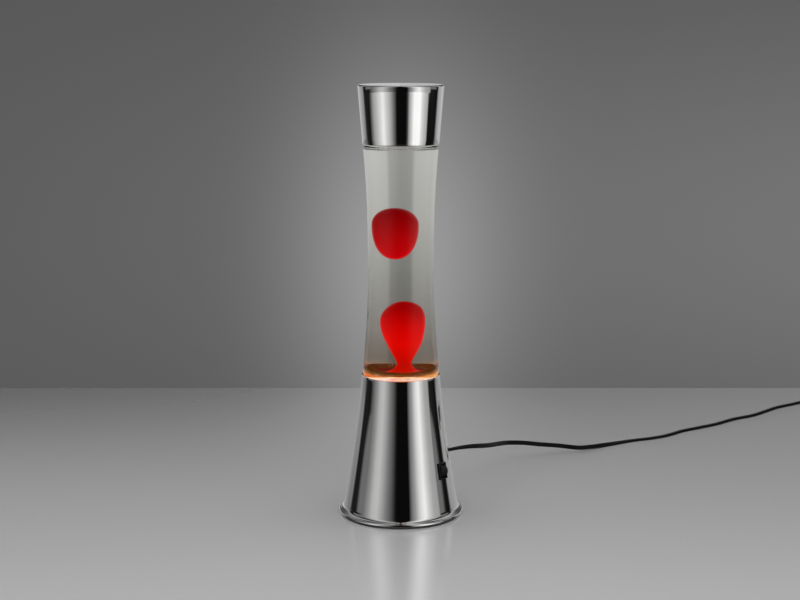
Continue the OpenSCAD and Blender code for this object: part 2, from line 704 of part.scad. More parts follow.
// Plug lying flat, its pins along +Y of its own frame; the outline narrows behind the grip
module plug_body() {
    w = plug_size[0] / 2;
    l = plug_size[1];
    color("black") at_plug() difference() {
        union() {
            linear_extrude(plug_size[2]) polygon(concat(
                [[w, l]],
                curve([[w, l - 6], [w - 2, l - 16], [w - 9, l - 20], [w - 9.5, l - 30]], 6),
                [[w - 11, 0], [-w + 11, 0]],
                curve([[-w + 9.5, l - 30], [-w + 9, l - 20], [-w + 2, l - 16], [-w, l - 6]], 6),
                [[-w, l]]));
            translate([0, 1, plug_size[2] / 2]) rotate([90, 0, 0])
                cylinder(r1 = 4.6, r2 = 3.2, h = plug_relief_l + 1);
        }
        translate([0, 8, plug_size[2] / 2]) rotate([90, 0, 0]) rotate([0, 0, 90])
            flat_hole(plug_relief_l + 12);
    }
}

module plug_pins() {
    color("silver") at_plug() for (x = [-1, 1])
        translate([x * pin_x, plug_size[1], plug_size[2] / 2]) rotate([-90, 0, 0]) {
            cylinder(r = pin_r, h = pin_l - 1);
            translate([0, 0, pin_l - 1]) cylinder(r1 = pin_r, r2 = pin_r - 0.8, h = 1);
        }
}

// ---- Bulb ----
module bulb_glass() {
    neck = bulb_neck_z;
    bowl = bulb_top - 14;
    outside = concat(
        [[bulb_neck_r - 1.6, neck], [bulb_neck_r, neck + 2]],
        curve([[bulb_neck_r, neck + 6], [bulb_neck_r + 1, neck + 15], [bulb_r, bowl - 12], [bulb_r, bowl]], 10),
        curve([[bulb_r, bowl + 4], [bulb_r, bowl + 9], [bulb_r - 6, bulb_top], [0, bulb_top]], 10));
    inside = concat(
        curve([[0, bulb_top - bulb_glass_t], [bulb_r - 6.5, bulb_top - bulb_glass_t],
            [bulb_r - bulb_glass_t, bowl + 8.5], [bulb_r - bulb_glass_t, bowl + 4]], 10),
        curve([[bulb_r - bulb_glass_t, bowl], [bulb_r - bulb_glass_t, bowl - 12],
            [bulb_neck_r + 0.4, neck + 15], [bulb_neck_r - bulb_glass_t, neck + 6]], 10),
        [[bulb_neck_r - bulb_glass_t, neck + 2], [bulb_neck_r - 1.6 - bulb_glass_t, neck]]);
    color("whitesmoke") rotate_extrude() polygon(concat(outside, inside));
}

module bulb_base() {
    color("gainsboro") rotate_extrude() polygon(concat(
        [[tip_r + apart, screw_low + 0.1], [4.5, screw_low + 0.1], [screw_r - 0.5, screw_low + 2]],
        [for (i = [0:8]) [screw_r - (i % 2) * 0.5, screw_low + 3 + i * thread_pitch / 2]],
        [[bulb_neck_r - 1.6, bulb_neck_z - 0.8], [bulb_neck_r - 1.6, bulb_neck_z - touch],
        [0.1, bulb_neck_z - touch], [0.1, screw_low + 4], [tip_r + apart, screw_low + 4]]));
}

module bulb_filament() {
    low = bulb_neck_z;
    post_l = 24;
    color("gray") {
        translate([0, 0, low]) cylinder(r = 2.5, h = 6);
        for (x = [-1, 1]) translate([x * 1.6, 0, low + 5]) cylinder(r = 0.35, h = post_l);
        translate([-4, 0, low + 5 + post_l]) rotate([0, 90, 0]) cylinder(r = 0.6, h = 8);
    }
}

module bulb_tip() {
    color("gold") {
        translate([0, 0, bulb_low_z]) cylinder(r1 = tip_r - 0.9, r2 = tip_r, h = 1);
        translate([0, 0, bulb_low_z + 1]) cylinder(r = tip_r, h = tip_h + 1.5);
    }
}

// ---- Bottle ----
module bottle_glass() {
    color("azure", 0.35) difference() {
        rotate_extrude() polygon(concat([[0, bottle_z + punt]], bottle_outside(), [[0, neck_top_z]]));
        rotate_extrude() polygon(bottle_inside(neck_top_z + 1, 0));
        translate([0, 0, bottle_z]) cylinder(r = gate_r, h = punt + gate_depth);
        translate([0, 0, floor_z - gate_depth]) cylinder(r = gate_r, h = 1);
    }
}

module liquid() {
    color("aliceblue", 0.3) difference() {
        rotate_extrude() polygon(bottle_inside(fill_z, liquid_gap));
        translate([column_x, 0, 0]) rotate_extrude() polygon(column_outline(touch));
        translate([ball_x, 0, 0]) rotate_extrude() polygon(ball_outline(ball_gap));
        translate([0, 0, floor_z - 1]) ring(coil_ring_r - coil_wire_r - 0.1, coil_ring_r + coil_wire_r + 0.1,
            0, 2 * coil_wire_r + 1.2);
    }
}

module wax_column() {
    color("red") translate([column_x, 0, 0]) rotate_extrude() polygon(column_outline(0));
}

module wax_ball() {
    color("red") translate([ball_x, 0, 0]) rotate_extrude() polygon(ball_outline(0));
}

module heating_coil() {
    color("goldenrod") translate([0, 0, floor_z + coil_wire_r + touch])
        rotate_extrude() translate([coil_ring_r, 0]) circle(r = coil_wire_r, $fn = 24);
}

module crown_cap() {
    top = neck_top_z + liner_t + 2 * touch;
    color("gainsboro") {
        translate([0, 0, top]) cylinder(r = crown_r, h = crown_t);
        ring(neck_r + fit_gap, crown_r, top - crown_skirt, crown_skirt);
    }
}

module crown_liner() {
    color("white") translate([0, 0, neck_top_z + touch]) cylinder(r = neck_r - 0.2, h = liner_t);
}

// ---- Cap ----
module top_cap() {
    color("silver") rotate_extrude() polygon(concat(
        [[cap_in_r, cap_z], [cap_in_r + cap_wall, cap_z]],
        arc([cap_top_r - cap_edge_r, lamp_h - cap_edge_r], cap_edge_r, 0, 90, 6),
        [[0, lamp_h], [0, lamp_h - cap_wall]],
        arc([cap_top_r - cap_edge_r, lamp_h - cap_edge_r], cap_edge_r - cap_wall, 90, 0, 4)));
}

base_shell();
globe_seat();
seat_gasket();
base_plate();
plate_brackets();
plate_screws();
rubber_feet();
holder_bracket();
bracket_screws();
holder_body();
holder_sleeve();
holder_contact();
holder_nipple();
holder_nut();
holder_screws();
switch_body();
switch_terminals();
terminal_sleeves();
cord_grommet();
cord_clamp();
clamp_screws();
cord_inner();
lead_live();
lead_neutral();
lead_switched();
cord_run();
cord_coil();
cord_tail();
cord_tie();
plug_body();
plug_pins();
switch_rocker();
bulb_glass();
bulb_base();
bulb_filament();
bulb_tip();
bottle_glass();
liquid();
wax_column();
heating_coil();
crown_cap();
crown_liner();
wax_ball();
top_cap();
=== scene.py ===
import json
import math

import bmesh
import bpy
from mathutils import Matrix, Vector


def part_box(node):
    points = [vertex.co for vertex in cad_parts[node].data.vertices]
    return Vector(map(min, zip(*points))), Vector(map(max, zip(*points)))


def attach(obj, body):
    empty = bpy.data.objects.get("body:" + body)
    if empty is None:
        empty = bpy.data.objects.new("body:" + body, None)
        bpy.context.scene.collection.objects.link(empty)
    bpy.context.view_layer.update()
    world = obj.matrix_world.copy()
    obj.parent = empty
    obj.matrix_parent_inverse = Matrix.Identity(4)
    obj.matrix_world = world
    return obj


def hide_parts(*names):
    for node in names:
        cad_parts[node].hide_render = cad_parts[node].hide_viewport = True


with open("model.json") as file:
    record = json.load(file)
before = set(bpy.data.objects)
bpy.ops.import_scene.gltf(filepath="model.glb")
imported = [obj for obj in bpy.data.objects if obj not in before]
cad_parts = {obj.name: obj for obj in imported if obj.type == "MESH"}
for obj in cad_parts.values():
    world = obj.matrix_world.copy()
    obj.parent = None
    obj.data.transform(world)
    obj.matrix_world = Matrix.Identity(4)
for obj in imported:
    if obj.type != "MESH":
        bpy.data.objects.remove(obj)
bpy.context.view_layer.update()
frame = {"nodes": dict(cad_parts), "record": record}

mm = 0.001
scene = bpy.context.scene
scene.view_settings.view_transform = "Standard"


# shared helpers

def hexColor(code):  # sRGB hex to the linear values that shaders take
    parts = [int(code[i:i + 2], 16) / 255 for i in (1, 3, 5)]
    return tuple(p / 12.92 if p <= 0.04045 else ((p + 0.055) / 1.055) ** 2.4 for p in parts) + (1.0,)


def addNode(tree, kind, settings=None, links=None):
    node = tree.nodes.new(kind)
    for name, value in (settings or {}).items():
        if isinstance(name, int) or name in node.inputs:
            node.inputs[name].default_value = value
        else:
            setattr(node, name, value)
    for name, source in (links or {}).items():
        tree.links.new(source, node.inputs[name])
    return node


def arcPoints(centre, radius, start, end, steps):
    turns = [math.radians(start + (end - start) * i / steps) for i in range(steps + 1)]
    return [(centre[0] + radius * math.cos(a), centre[1] + radius * math.sin(a)) for a in turns]


def bezierPoints(a, b, c, d, steps):
    out = []
    for i in range(steps + 1):
        t = i / steps
        w = ((1 - t) ** 3, 3 * t * (1 - t) ** 2, 3 * t * t * (1 - t), t ** 3)
        out.append(tuple(sum(k * p[j] for k, p in zip(w, (a, b, c, d))) for j in (0, 1)))
    return out


def steps(low, high, count):
    return [low + (high - low) * i / count for i in range(count + 1)]


def spinOutline(points, segments=144):  # a half outline of (radius, height) in mm, turned about +Z
    bm = bmesh.new()
    line = [bm.verts.new((r * mm, 0, z * mm)) for r, z in points]
    edges = [bm.edges.new(pair) for pair in zip(line, line[1:])]
    bmesh.ops.spin(bm, geom=line + edges, cent=(0, 0, 0), axis=(0, 0, 1), dvec=(0, 0, 0),
                   angle=2 * math.pi, steps=segments, use_merge=True)
    bmesh.ops.remove_doubles(bm, verts=bm.verts, dist=1e-6)
    bmesh.ops.dissolve_degenerate(bm, edges=bm.edges, dist=1e-7)
    bmesh.ops.recalc_face_normals(bm, faces=bm.faces)
    return bm


def faceOutwards(bm, point):  # an open sheet's normals, made to point away from a point of the axis
    face = max(bm.faces, key=lambda f: f.calc_center_median().xy.length)
    if face.normal.dot(face.calc_center_median() - Vector(point)) < 0:
        bmesh.ops.reverse_faces(bm, faces=bm.faces)


def makePiece(name, bm, body, materials, replaced=(), sharp=32):
    mesh = bpy.data.meshes.new(name)
    bm.to_mesh(mesh)
    bm.free()
    for material in materials:
        mesh.materials.append(material)
    mesh.shade_smooth()
    mesh.set_sharp_from_angle(angle=math.radians(sharp))
    piece = bpy.data.objects.new(name, mesh)
    scene.collection.objects.link(piece)
    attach(piece, body)
    if replaced:
        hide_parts(*replaced)
    return piece


# camera

camera = {"place": (-0.0008, -1.412, 0.4475), "pitch": 80.05, "lens": 70.63, "sensor": 36}
eye = bpy.data.cameras.new("camera")
eye.lens = camera["lens"]
eye.sensor_width = camera["sensor"]
eye.clip_start = 0.05
eyeObject = bpy.data.objects.new("camera", eye)
eyeObject.location = camera["place"]
eyeObject.rotation_euler = (math.radians(camera["pitch"]), 0, 0)
scene.collection.objects.link(eyeObject)
scene.camera = eyeObject
print("camera placed")


# materials

def newMaterial(name, settings):
    material = bpy.data.materials.new(name)
    material.use_nodes = True
    tree = material.node_tree
    tree.nodes.clear()
    output = addNode(tree, "ShaderNodeOutputMaterial")
    shader = addNode(tree, "ShaderNodeBsdfPrincipled", settings)
    tree.links.new(shader.outputs["BSDF"], output.inputs["Surface"])
    return material, tree, shader


def grainMaterial(name, look):
    # colours run from dark to light over a noise grain of a real size; the same grain sets roughness and bump
    settings = {"IOR": look.get("ior", 1.5), "Metallic": look.get("metal", 0.0),
                "Specular IOR Level": look.get("shine", 0.5)}
    if "coat" in look:
        settings["Coat Weight"] = look["coat"]
        settings["Coat Roughness"] = 0.12
    material, tree, shader = newMaterial(name, settings)
    place = addNode(tree, "ShaderNodeTexCoord")
    mapping = addNode(tree, "ShaderNodeMapping", {"Scale": look.get("stretch", (1, 1, 1))},
                      {"Vector": place.outputs["Object"]})
    size = look["grain"] * mm
    fine = addNode(tree, "ShaderNodeTexNoise", {"Scale": 1 / size, "Detail": 4.0, "Roughness": 0.6},
                   {"Vector": mapping.outputs[0]})
    broad = addNode(tree, "ShaderNodeTexNoise", {"Scale": 1 / (size * 14), "Detail": 2.0},
                    {"Vector": mapping.outputs[0]})
    both = addNode(tree, "ShaderNodeMix", {"data_type": "FLOAT", 0: 0.45},
                   {2: fine.outputs["Fac"], 3: broad.outputs["Fac"]})
    ramp = addNode(tree, "ShaderNodeValToRGB", {}, {"Fac": both.outputs[0]})
    ramp.color_ramp.elements[0].position = 0.3
    ramp.color_ramp.elements[0].color = hexColor(look["dark"])
    ramp.color_ramp.elements[1].position = 0.7
    ramp.color_ramp.elements[1].color = hexColor(look["light"])
    tree.links.new(ramp.outputs["Color"], shader.inputs["Base Color"])
    rough = addNode(tree, "ShaderNodeMapRange", {1: 0.3, 2: 0.7, 3: look["rough"][0], 4: look["rough"][1]},
                    {"Value": both.outputs[0]})
    tree.links.new(rough.outputs[0], shader.inputs["Roughness"])
    bump = addNode(tree, "ShaderNodeBump", {"Strength": look.get("bump", 0.2), "Distance": size * 0.25},
                   {"Height": fine.outputs["Fac"]})
    tree.links.new(bump.outputs["Normal"], shader.inputs["Normal"])
    return material


# finishes of the plain pieces; grain is in mm
looks = {
    # zinc-plated pressed steel: grey, with a faint spangle
    "zinc_steel": {"dark": "#8d9094", "light": "#b9bcc0", "grain": 2.2, "rough": (0.28, 0.45), "metal": 1.0,
                   "bump": 0.05},
    # powder-coated steel: black with an orange-peel skin
    "black_steel": {"dark": "#121214", "light": "#1e1e21", "grain": 0.9, "rough": (0.4, 0.55), "bump": 0.35},
    # turned brass of the holder and its screws
    "brass": {"dark": "#9c7b3a", "light": "#c9a659", "grain": 1.2, "rough": (0.22, 0.4), "metal": 1.0,
              "bump": 0.04},
    # glazed steatite of the holder
    "white_holder": {"dark": "#cfcabd", "light": "#e6e2d6", "grain": 0.8, "rough": (0.45, 0.6), "bump": 0.15},
    # moulded black ABS with a spark-eroded skin
    "black_plastic": {"dark": "#060607", "light": "#0f0f10", "grain": 0.35, "rough": (0.34, 0.5), "bump": 0.3,
                      "shine": 0.4},
    # PVC sheath: black, slightly waxy
    "black_lead": {"dark": "#020202", "light": "#080809", "grain": 0.5, "rough": (0.5, 0.64), "bump": 0.2,
                   "shine": 0.2},
    # nylon clamp
    "white_plastic": {"dark": "#d2d0c8", "light": "#e8e6df", "grain": 0.5, "rough": (0.4, 0.55), "bump": 0.12},
    # rubber feet: dull black, a little dusty
    "soft_rubber": {"dark": "#17171a", "light": "#2a2a2d", "grain": 0.6, "rough": (0.7, 0.88), "bump": 0.3},
    # silicone ring under the bottle
    "white_silicone": {"dark": "#cbcbc6", "light": "#e2e2de", "grain": 0.7, "rough": (0.5, 0.65), "bump": 0.15},
    # single cores
    "brown_wire": {"dark": "#3f2010", "light": "#5e3219", "grain": 0.5, "rough": (0.4, 0.5), "bump": 0.1},
    "blue_wire": {"dark": "#1a4c93", "light": "#2b66b4", "grain": 0.5, "rough": (0.4, 0.5), "bump": 0.1},
}
finishes = {name: grainMaterial(name.replace("_", " "), look) for name, look in looks.items()}
for node in frame["record"]["subparts"]:
    slotName = node["material_slot"]
    if slotName in finishes:
        mesh = frame["nodes"][node["node"]].data
        mesh.materials.clear()
        mesh.materials.append(finishes[slotName])


def chromeMaterial():
    # bright chrome plate on spun steel: mirror sharp, with a trace of the spinning lathe's rings
    look = {"tint": "#e4e4e3", "rough": (0.015, 0.045), "ring": 0.9}
    material, tree, shader = newMaterial("polished chrome plate", {"Metallic": 1.0})
    place = addNode(tree, "ShaderNodeTexCoord")
    rings = addNode(tree, "ShaderNodeMapping", {"Scale": (0.02, 0.02, 1)}, {"Vector": place.outputs["Object"]})
    lines = addNode(tree, "ShaderNodeTexNoise", {"Scale": 1 / (look["ring"] * mm), "Detail": 3.0},
                    {"Vector": rings.outputs[0]})
    haze = addNode(tree, "ShaderNodeTexNoise", {"Scale": 1 / (26 * mm), "Detail": 3.0},
                   {"Vector": place.outputs["Object"]})
    both = addNode(tree, "ShaderNodeMath", {"operation": "MULTIPLY"},
                   {0: lines.outputs["Fac"], 1: haze.outputs["Fac"]})
    rough = addNode(tree, "ShaderNodeMapRange", {1: 0.15, 2: 0.4, 3: look["rough"][0], 4: look["rough"][1]},
                    {"Value": both.outputs[0]})
    tree.links.new(rough.outputs[0], shader.inputs["Roughness"])
    tone = addNode(tree, "ShaderNodeMix", {"data_type": "RGBA", 6: hexColor("#d6d6d5"), 7: hexColor(look["tint"])},
                   {0: haze.outputs["Fac"]})
    tree.links.new(tone.outputs[2], shader.inputs["Base Color"])
    bump = addNode(tree, "ShaderNodeBump", {"Strength": 0.02, "Distance": 0.05 * mm},
                   {"Height": lines.outputs["Fac"]})
    tree.links.new(bump.outputs["Normal"], shader.inputs["Normal"])
    return material


chrome = chromeMaterial()
print("materials ready")


# the lead: flat twin cable from the base to its plug, with the spare length coiled

lead = {
    "size": (4.6, 2.4),        # width and thickness
    "exitAngle": 50,
    "exitZ": 43.5,
    "relief": 20,
    "onEdge": 72,              # how far it is twisted where it runs free, in degrees
    "coilCentre": (532, 404),
    "coilRadius": (32.6, 19.0, 32.9),
    "coilHeight": (1.7, 4.15),
    "turns": 3,                # in each of the two layers
}
route = [
    [52, 61, 43], [60, 69, 42], [68, 78, 40.5], [78, 91, 37.5], [89, 112, 32.5], [98, 135, 27.5],
    [108, 156, 23], [120, 170, 19.5], [132, 179, 16.5], [144, 186, 13.5], [156, 194, 10.5],
    [168, 200, 8], [180, 202, 6], [191, 204, 4.6], [203, 213, 3.2], [217, 223, 2.2],
    [233, 234, 1.5], [252, 246, 1.2], [275, 256, 1.2], [294, 268, 1.2], [314, 287, 1.2],
    [334, 301, 1.2], [358, 318, 1.2], [383, 341, 1.2], [407, 357, 1.2], [427, 377, 1.2],
    [446, 397, 1.2], [464, 410, 1.2], [481, 423, 1.2], [498, 432.5, 1.2], [515, 436.8, 1.5]]
tail = [[565.4, 396, 4.8], [565.8, 389, 6], [566, 382, 6.85], [566, 374, 6.85]]

base = {
    "rimRadius": 35.9, "flangeWidth": 4.6, "footZ": 8.4, "power": 1.3, "wall": 0.8,
    "beadRadius": 1.75, "coveRadius": 3.7, "beadInset": 2.6,
}
shellLow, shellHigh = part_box("base_shell")
base["rimZ"] = shellHigh.z / mm
base["footGap"] = shellLow.z / mm
base["footRadius"] = shellHigh.x / mm


def coneRadius(z):
    foot = base["footRadius"] - base["flangeWidth"]
    part = (base["rimZ"] - z) / (base["rimZ"] - base["footZ"])
    return base["rimRadius"] + (foot - base["rimRadius"]) * max(part, 0) ** base["power"]


def smoothThrough(points, perSpan):  # a smooth line through the given points
    out = []
    for i in range(len(points) - 1):
        a, b, c, d = (Vector(points[k]) for k in (max(i - 1, 0), i, i + 1, min(i + 2, len(points) - 1)))
        for k in range(perSpan):
            t = k / perSpan
            out.append(0.5 * (2 * b + (c - a) * t + (2 * a - 5 * b + 4 * c - d) * t * t
                              + (3 * b - a - 3 * c + d) * t ** 3))
    return out + [Vector(points[-1])]


def coilPoints():
    # bottom layer winds in, top layer winds out, clockwise from the far side
    cx, cy = lead["coilCentre"]
    outer, inner, last = lead["coilRadius"]
    low, high = lead["coilHeight"]
    turns = lead["turns"]
    out = []
    count = int((2 * turns + 0.25) * 20)
    for i in range(count + 1):
        turn = (2 * turns + 0.25) * i / count
        if turn < turns:
            r, z = outer + (inner - outer) * turn / turns, low
        elif turn < turns + 0.25:
            part = (turn - turns) * 4
            r, z = inner, low + (high - low) * part * part * (3 - 2 * part)
        else:
            r, z = inner + (last - inner) * (turn - turns - 0.25) / turns, high
        angle = math.radians(90 - 360 * turn)
        out.append([cx + r * math.cos(angle), cy + r * math.sin(angle), z])
    return out


def flatSweep(name, path, tilts, size, closeEnds=True):
    # a twin-core section swept along a path, its wide side lying level and then turned by the tilts
    width, thick = size
    section = bpy.data.curves.new("section", "CURVE")
    section.dimensions = "2D"
    loop = section.splines.new("POLY")
    outline = []
    for side in (1, -1):
        for i in range(9):
            a = math.radians(-66 + 132 * i / 8) if side > 0 else math.radians(114 + 132 * i / 8)
            outline.append((side * (width - thick) / 2 + thick / 2 * math.cos(a), thick / 2 * math.sin(a)))
    loop.points.add(len(outline) - 1)
    for p, (x, y) in zip(loop.points, outline):
        p.co = (x * mm, y * mm, 0, 1)
    loop.use_cyclic_u = True
    sectionObject = bpy.data.objects.new("section", section)
    curve = bpy.data.curves.new(name, "CURVE")
    curve.dimensions = "3D"
    curve.twist_mode = "Z_UP"
    line = curve.splines.new("POLY")
    line.points.add(len(path) - 1)
    for p, at, tilt in zip(line.points, path, tilts):
        p.co = (at.x * mm, at.y * mm, at.z * mm, 1)
        p.tilt = math.radians(tilt)
    curve.bevel_mode = "OBJECT"
    curve.bevel_object = sectionObject
    curve.use_fill_caps = closeEnds
    curveObject = bpy.data.objects.new(name, curve)
    for o in (sectionObject, curveObject):
        scene.collection.objects.link(o)
    bpy.context.view_layer.update()
    mesh = bpy.data.meshes.new_from_object(curveObject.evaluated_get(bpy.context.evaluated_depsgraph_get()))
    bm = bmesh.new()
    bm.from_mesh(mesh)
    bmesh.ops.remove_doubles(bm, verts=bm.verts, dist=1e-7)
    bmesh.ops.recalc_face_normals(bm, faces=bm.faces)
    for o in (sectionObject, curveObject):
        bpy.data.objects.remove(o)
    return bm


exitTurn = math.radians(lead["exitAngle"])
exitOut = Vector((math.cos(exitTurn), math.sin(exitTurn), 0))
tipDistance = coneRadius(lead["exitZ"]) + lead["relief"]
tip = exitOut * tipDistance + Vector((0, 0, lead["exitZ"]))
hidden = exitOut * (tipDistance - 8) + Vector((0, 0, lead["exitZ"]))   # its end inside the relief
runPath = smoothThrough([tip] + route + [coilPoints()[0]], 4)
coilPath = [Vector(p) for p in coilPoints()]
tailPath = smoothThrough([coilPath[-2], coilPath[-1]] + tail, 5)[5:]
leadPath = [hidden] + runPath + coilPath[1:] + tailPath[1:]


def leadTilt(point, travelled):
    # on edge while it hangs free, as far as its height above the table allows
    half, thin = lead["size"][0] / 2, lead["size"][1] / 2
    if point.x > 300:
        return 0
    lift = max(0, min(1, (point.z ** 2 - thin ** 2) / (half ** 2 - thin ** 2) * 0.92))
    most = math.degrees(math.asin(math.sqrt(lift)))
    eased = max(0, min(1, (travelled - 12) / 60))
    return min(lead["onEdge"], most) * eased * eased * (3 - 2 * eased)


travelled = [0]
for a, b in zip(leadPath, leadPath[1:]):
    travelled.append(travelled[-1] + (b - a).length)
tilts = [leadTilt(p, s) for p, s in zip(leadPath, travelled)]
cordMesh = flatSweep("mains_lead", leadPath, tilts, lead["size"])
cord = makePiece("mains_lead", cordMesh, "base", [finishes["black_lead"]],
                 ("cord_run", "cord_coil", "cord_tail"))


# the plug: moulded two-pin body with finger ribs and a ribbed relief

plug = {"back": (566, 364), "size": (35, 36, 13.7), "relief": 18, "ribs": 5, "round": 2.6}


def plugBody():
    w, l, h = plug["size"][0] / 2, plug["size"][1], plug["size"][2]
    side = [(w, l)] + bezierPoints((w, l - 6), (w - 2, l - 16), (w - 9, l - 20), (w - 9.5, l - 30), 10)
    side.append((w - 11, 0))
    outline = side + [(-x, y) for x, y in reversed(side)]
    bm = bmesh.new()
    corners = [bm.verts.new((x * mm, y * mm, 0)) for x, y in outline]
    bottom = bm.faces.new(corners)
    raised = bmesh.ops.extrude_face_region(bm, geom=[bottom])
    top = [v for v in raised["geom"] if isinstance(v, bmesh.types.BMVert)]
    bmesh.ops.translate(bm, verts=top, vec=(0, 0, h * mm))
    bmesh.ops.recalc_face_normals(bm, faces=bm.faces)
    rim = [e for e in bm.edges if abs(e.verts[0].co.z - e.verts[1].co.z) < 1e-6
           and (e.verts[0].co.y + e.verts[1].co.y) / 2 < (l - 0.5) * mm]
    bmesh.ops.bevel(bm, geom=rim, offset=plug["round"] * mm, segments=5, profile=0.5, affect="EDGES",
                    material=-1)
    bmesh.ops.recalc_face_normals(bm, faces=bm.faces)
    return bm


def plugRelief():
    # a tapered sleeve with grooves that let it bend
    length, ribs = plug["relief"], plug["ribs"]
    outline = [(0, -4)]
    for i in range(ribs):
        at = length * i / ribs
        r = 4.6 - 1.4 * i / ribs
        outline += [(r, at - (4 if i == 0 else 0)), (r - 0.15, at + length / ribs * 0.62),
                    (r - 0.9, at + length / ribs * 0.7), (r - 0.95, at + length / ribs * 0.92)]
    outline += [(3.2, length - 0.4), (2.9, length), (0, length)]
    bm = spinOutline(outline, 40)
    bmesh.ops.rotate(bm, verts=bm.verts, cent=(0, 0, 0), matrix=Matrix.Rotation(math.radians(90), 3, "X"))
    bmesh.ops.translate(bm, verts=bm.verts, vec=(0, 0, plug["size"][2] / 2 * mm))
    return bm


def joinMeshes(parts):  # several bmeshes as one
    whole = bmesh.new()
    for part in parts:
        holder = bpy.data.meshes.new("holder")
        part.to_mesh(holder)
        part.free()
        whole.from_mesh(holder)
        bpy.data.meshes.remove(holder)
    return whole


def fingerRibs():
    # raised bars across the grip, on both broad faces
    w, h = plug["size"][0] / 2, plug["size"][2]
    parts = []
    for i in range(4):
        for face in (0, 1):
            bm = bmesh.new()
            bmesh.ops.create_cube(bm, size=1)
            bmesh.ops.scale(bm, verts=bm.verts, vec=((w * 1.1 - i * 1.6) * mm, 1.3 * mm, 1.2 * mm))
            bmesh.ops.bevel(bm, geom=bm.edges[:], offset=0.5 * mm, segments=2, profile=0.5, affect="EDGES",
                            material=-1)
            height = h - 0.35 if face else 0.6
            bmesh.ops.translate(bm, verts=bm.verts, vec=(0, (22 - i * 3) * mm, height * mm))
            parts.append(bm)
    return joinMeshes(parts)


plugMesh = joinMeshes([plugBody(), plugRelief(), fingerRibs()])
bmesh.ops.rotate(plugMesh, verts=plugMesh.verts, cent=(0, 0, 0), matrix=Matrix.Rotation(math.pi, 3, "Z"))
bmesh.ops.translate(plugMesh, verts=plugMesh.verts, vec=(plug["back"][0] * mm, plug["back"][1] * mm, 0))
plugPiece = makePiece("mains_plug", plugMesh, "base", [finishes["black_lead"]], ("plug_body",))


def pinMaterial():
    # nickel-plated tips; the half next to the plug is sleeved in black plastic
    material, tree, shader = newMaterial("sleeved nickel pins", {})
    place = addNode(tree, "ShaderNodeTexCoord")
    parts = addNode(tree, "ShaderNodeSeparateXYZ", {}, {"Vector": place.outputs["Object"]})
    low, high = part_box("plug_pins")
    middle = high.y - 10 * mm
    bare = addNode(tree, "ShaderNodeMath", {"operation": "LESS_THAN", 1: middle}, {0: parts.outputs["Y"]})
    grain = addNode(tree, "ShaderNodeTexNoise", {"Scale": 1 / (0.8 * mm), "Detail": 3.0},
                    {"Vector": place.outputs["Object"]})
    metal = addNode(tree, "ShaderNodeMix", {"data_type": "RGBA", 6: hexColor("#b5b1a6"), 7: hexColor("#d2cfc6")},
                    {0: grain.outputs["Fac"]})
    tone = addNode(tree, "ShaderNodeMix", {"data_type": "RGBA", 6: hexColor("#101011")},
                   {0: bare.outputs[0], 7: metal.outputs[2]})
    rough = addNode(tree, "ShaderNodeMapRange", {3: 0.45, 4: 0.22}, {"Value": bare.outputs[0]})
    tree.links.new(tone.outputs[2], shader.inputs["Base Color"])
    tree.links.new(bare.outputs[0], shader.inputs["Metallic"])
    tree.links.new(rough.outputs[0], shader.inputs["Roughness"])
    return material


pins = frame["nodes"]["plug_pins"]
pins.data.materials.clear()
pins.data.materials.append(pinMaterial())


# the grommet: a flange that follows the cone, and a ribbed taper round the lead

def leadGrommet():
    flange, neck, end, length = 6.2, 4.1, 3.0, lead["relief"]
    ribs = 5
    outline = [(0, -3), (5.2, -3), (5.4, -2.6), (5.4, -1.0), (neck, -0.9), (neck, 0.05), (flange, 0.05),
               (flange, 0.9), (flange - 0.5, 1.5), (flange - 1.2, 1.6), (neck + 0.3, 1.7)]
    for i in range(ribs):
        at = 2.6 + (length - 3.4) * i / ribs
        span = (length - 3.4) / ribs
        r = neck + 0.1 + (end - neck) * i / ribs
        outline += [(r, at), (r - 0.1, at + span * 0.6), (r - 0.75, at + span * 0.68), (r - 0.8, at + span * 0.92)]
    outline += [(end, length - 0.5), (end - 0.3, length), (0, length)]
    bm = spinOutline(outline, 48)
    for v in bm.verts:
        across, up, out = v.co.y / mm, -v.co.x / mm, v.co.z / mm
        z = lead["exitZ"] + up
        onCone = math.sqrt((coneRadius(z) + out) ** 2 - across ** 2)
        straight = coneRadius(lead["exitZ"]) + out
        part = max(0, min(1, (out - 1.6) / 2))
        reach = onCone + (straight - onCone) * part
        side = Vector((-exitOut.y, exitOut.x, 0))
        v.co = (exitOut * reach + side * across + Vector((0, 0, z))) * mm
    bmesh.ops.recalc_face_normals(bm, faces=bm.faces)
    return bm


grommet = makePiece("lead_grommet", leadGrommet(), "base", [finishes["black_lead"]],
                    ("cord_grommet",))


# the tie round the coil: a paper-covered wire, twisted at the end

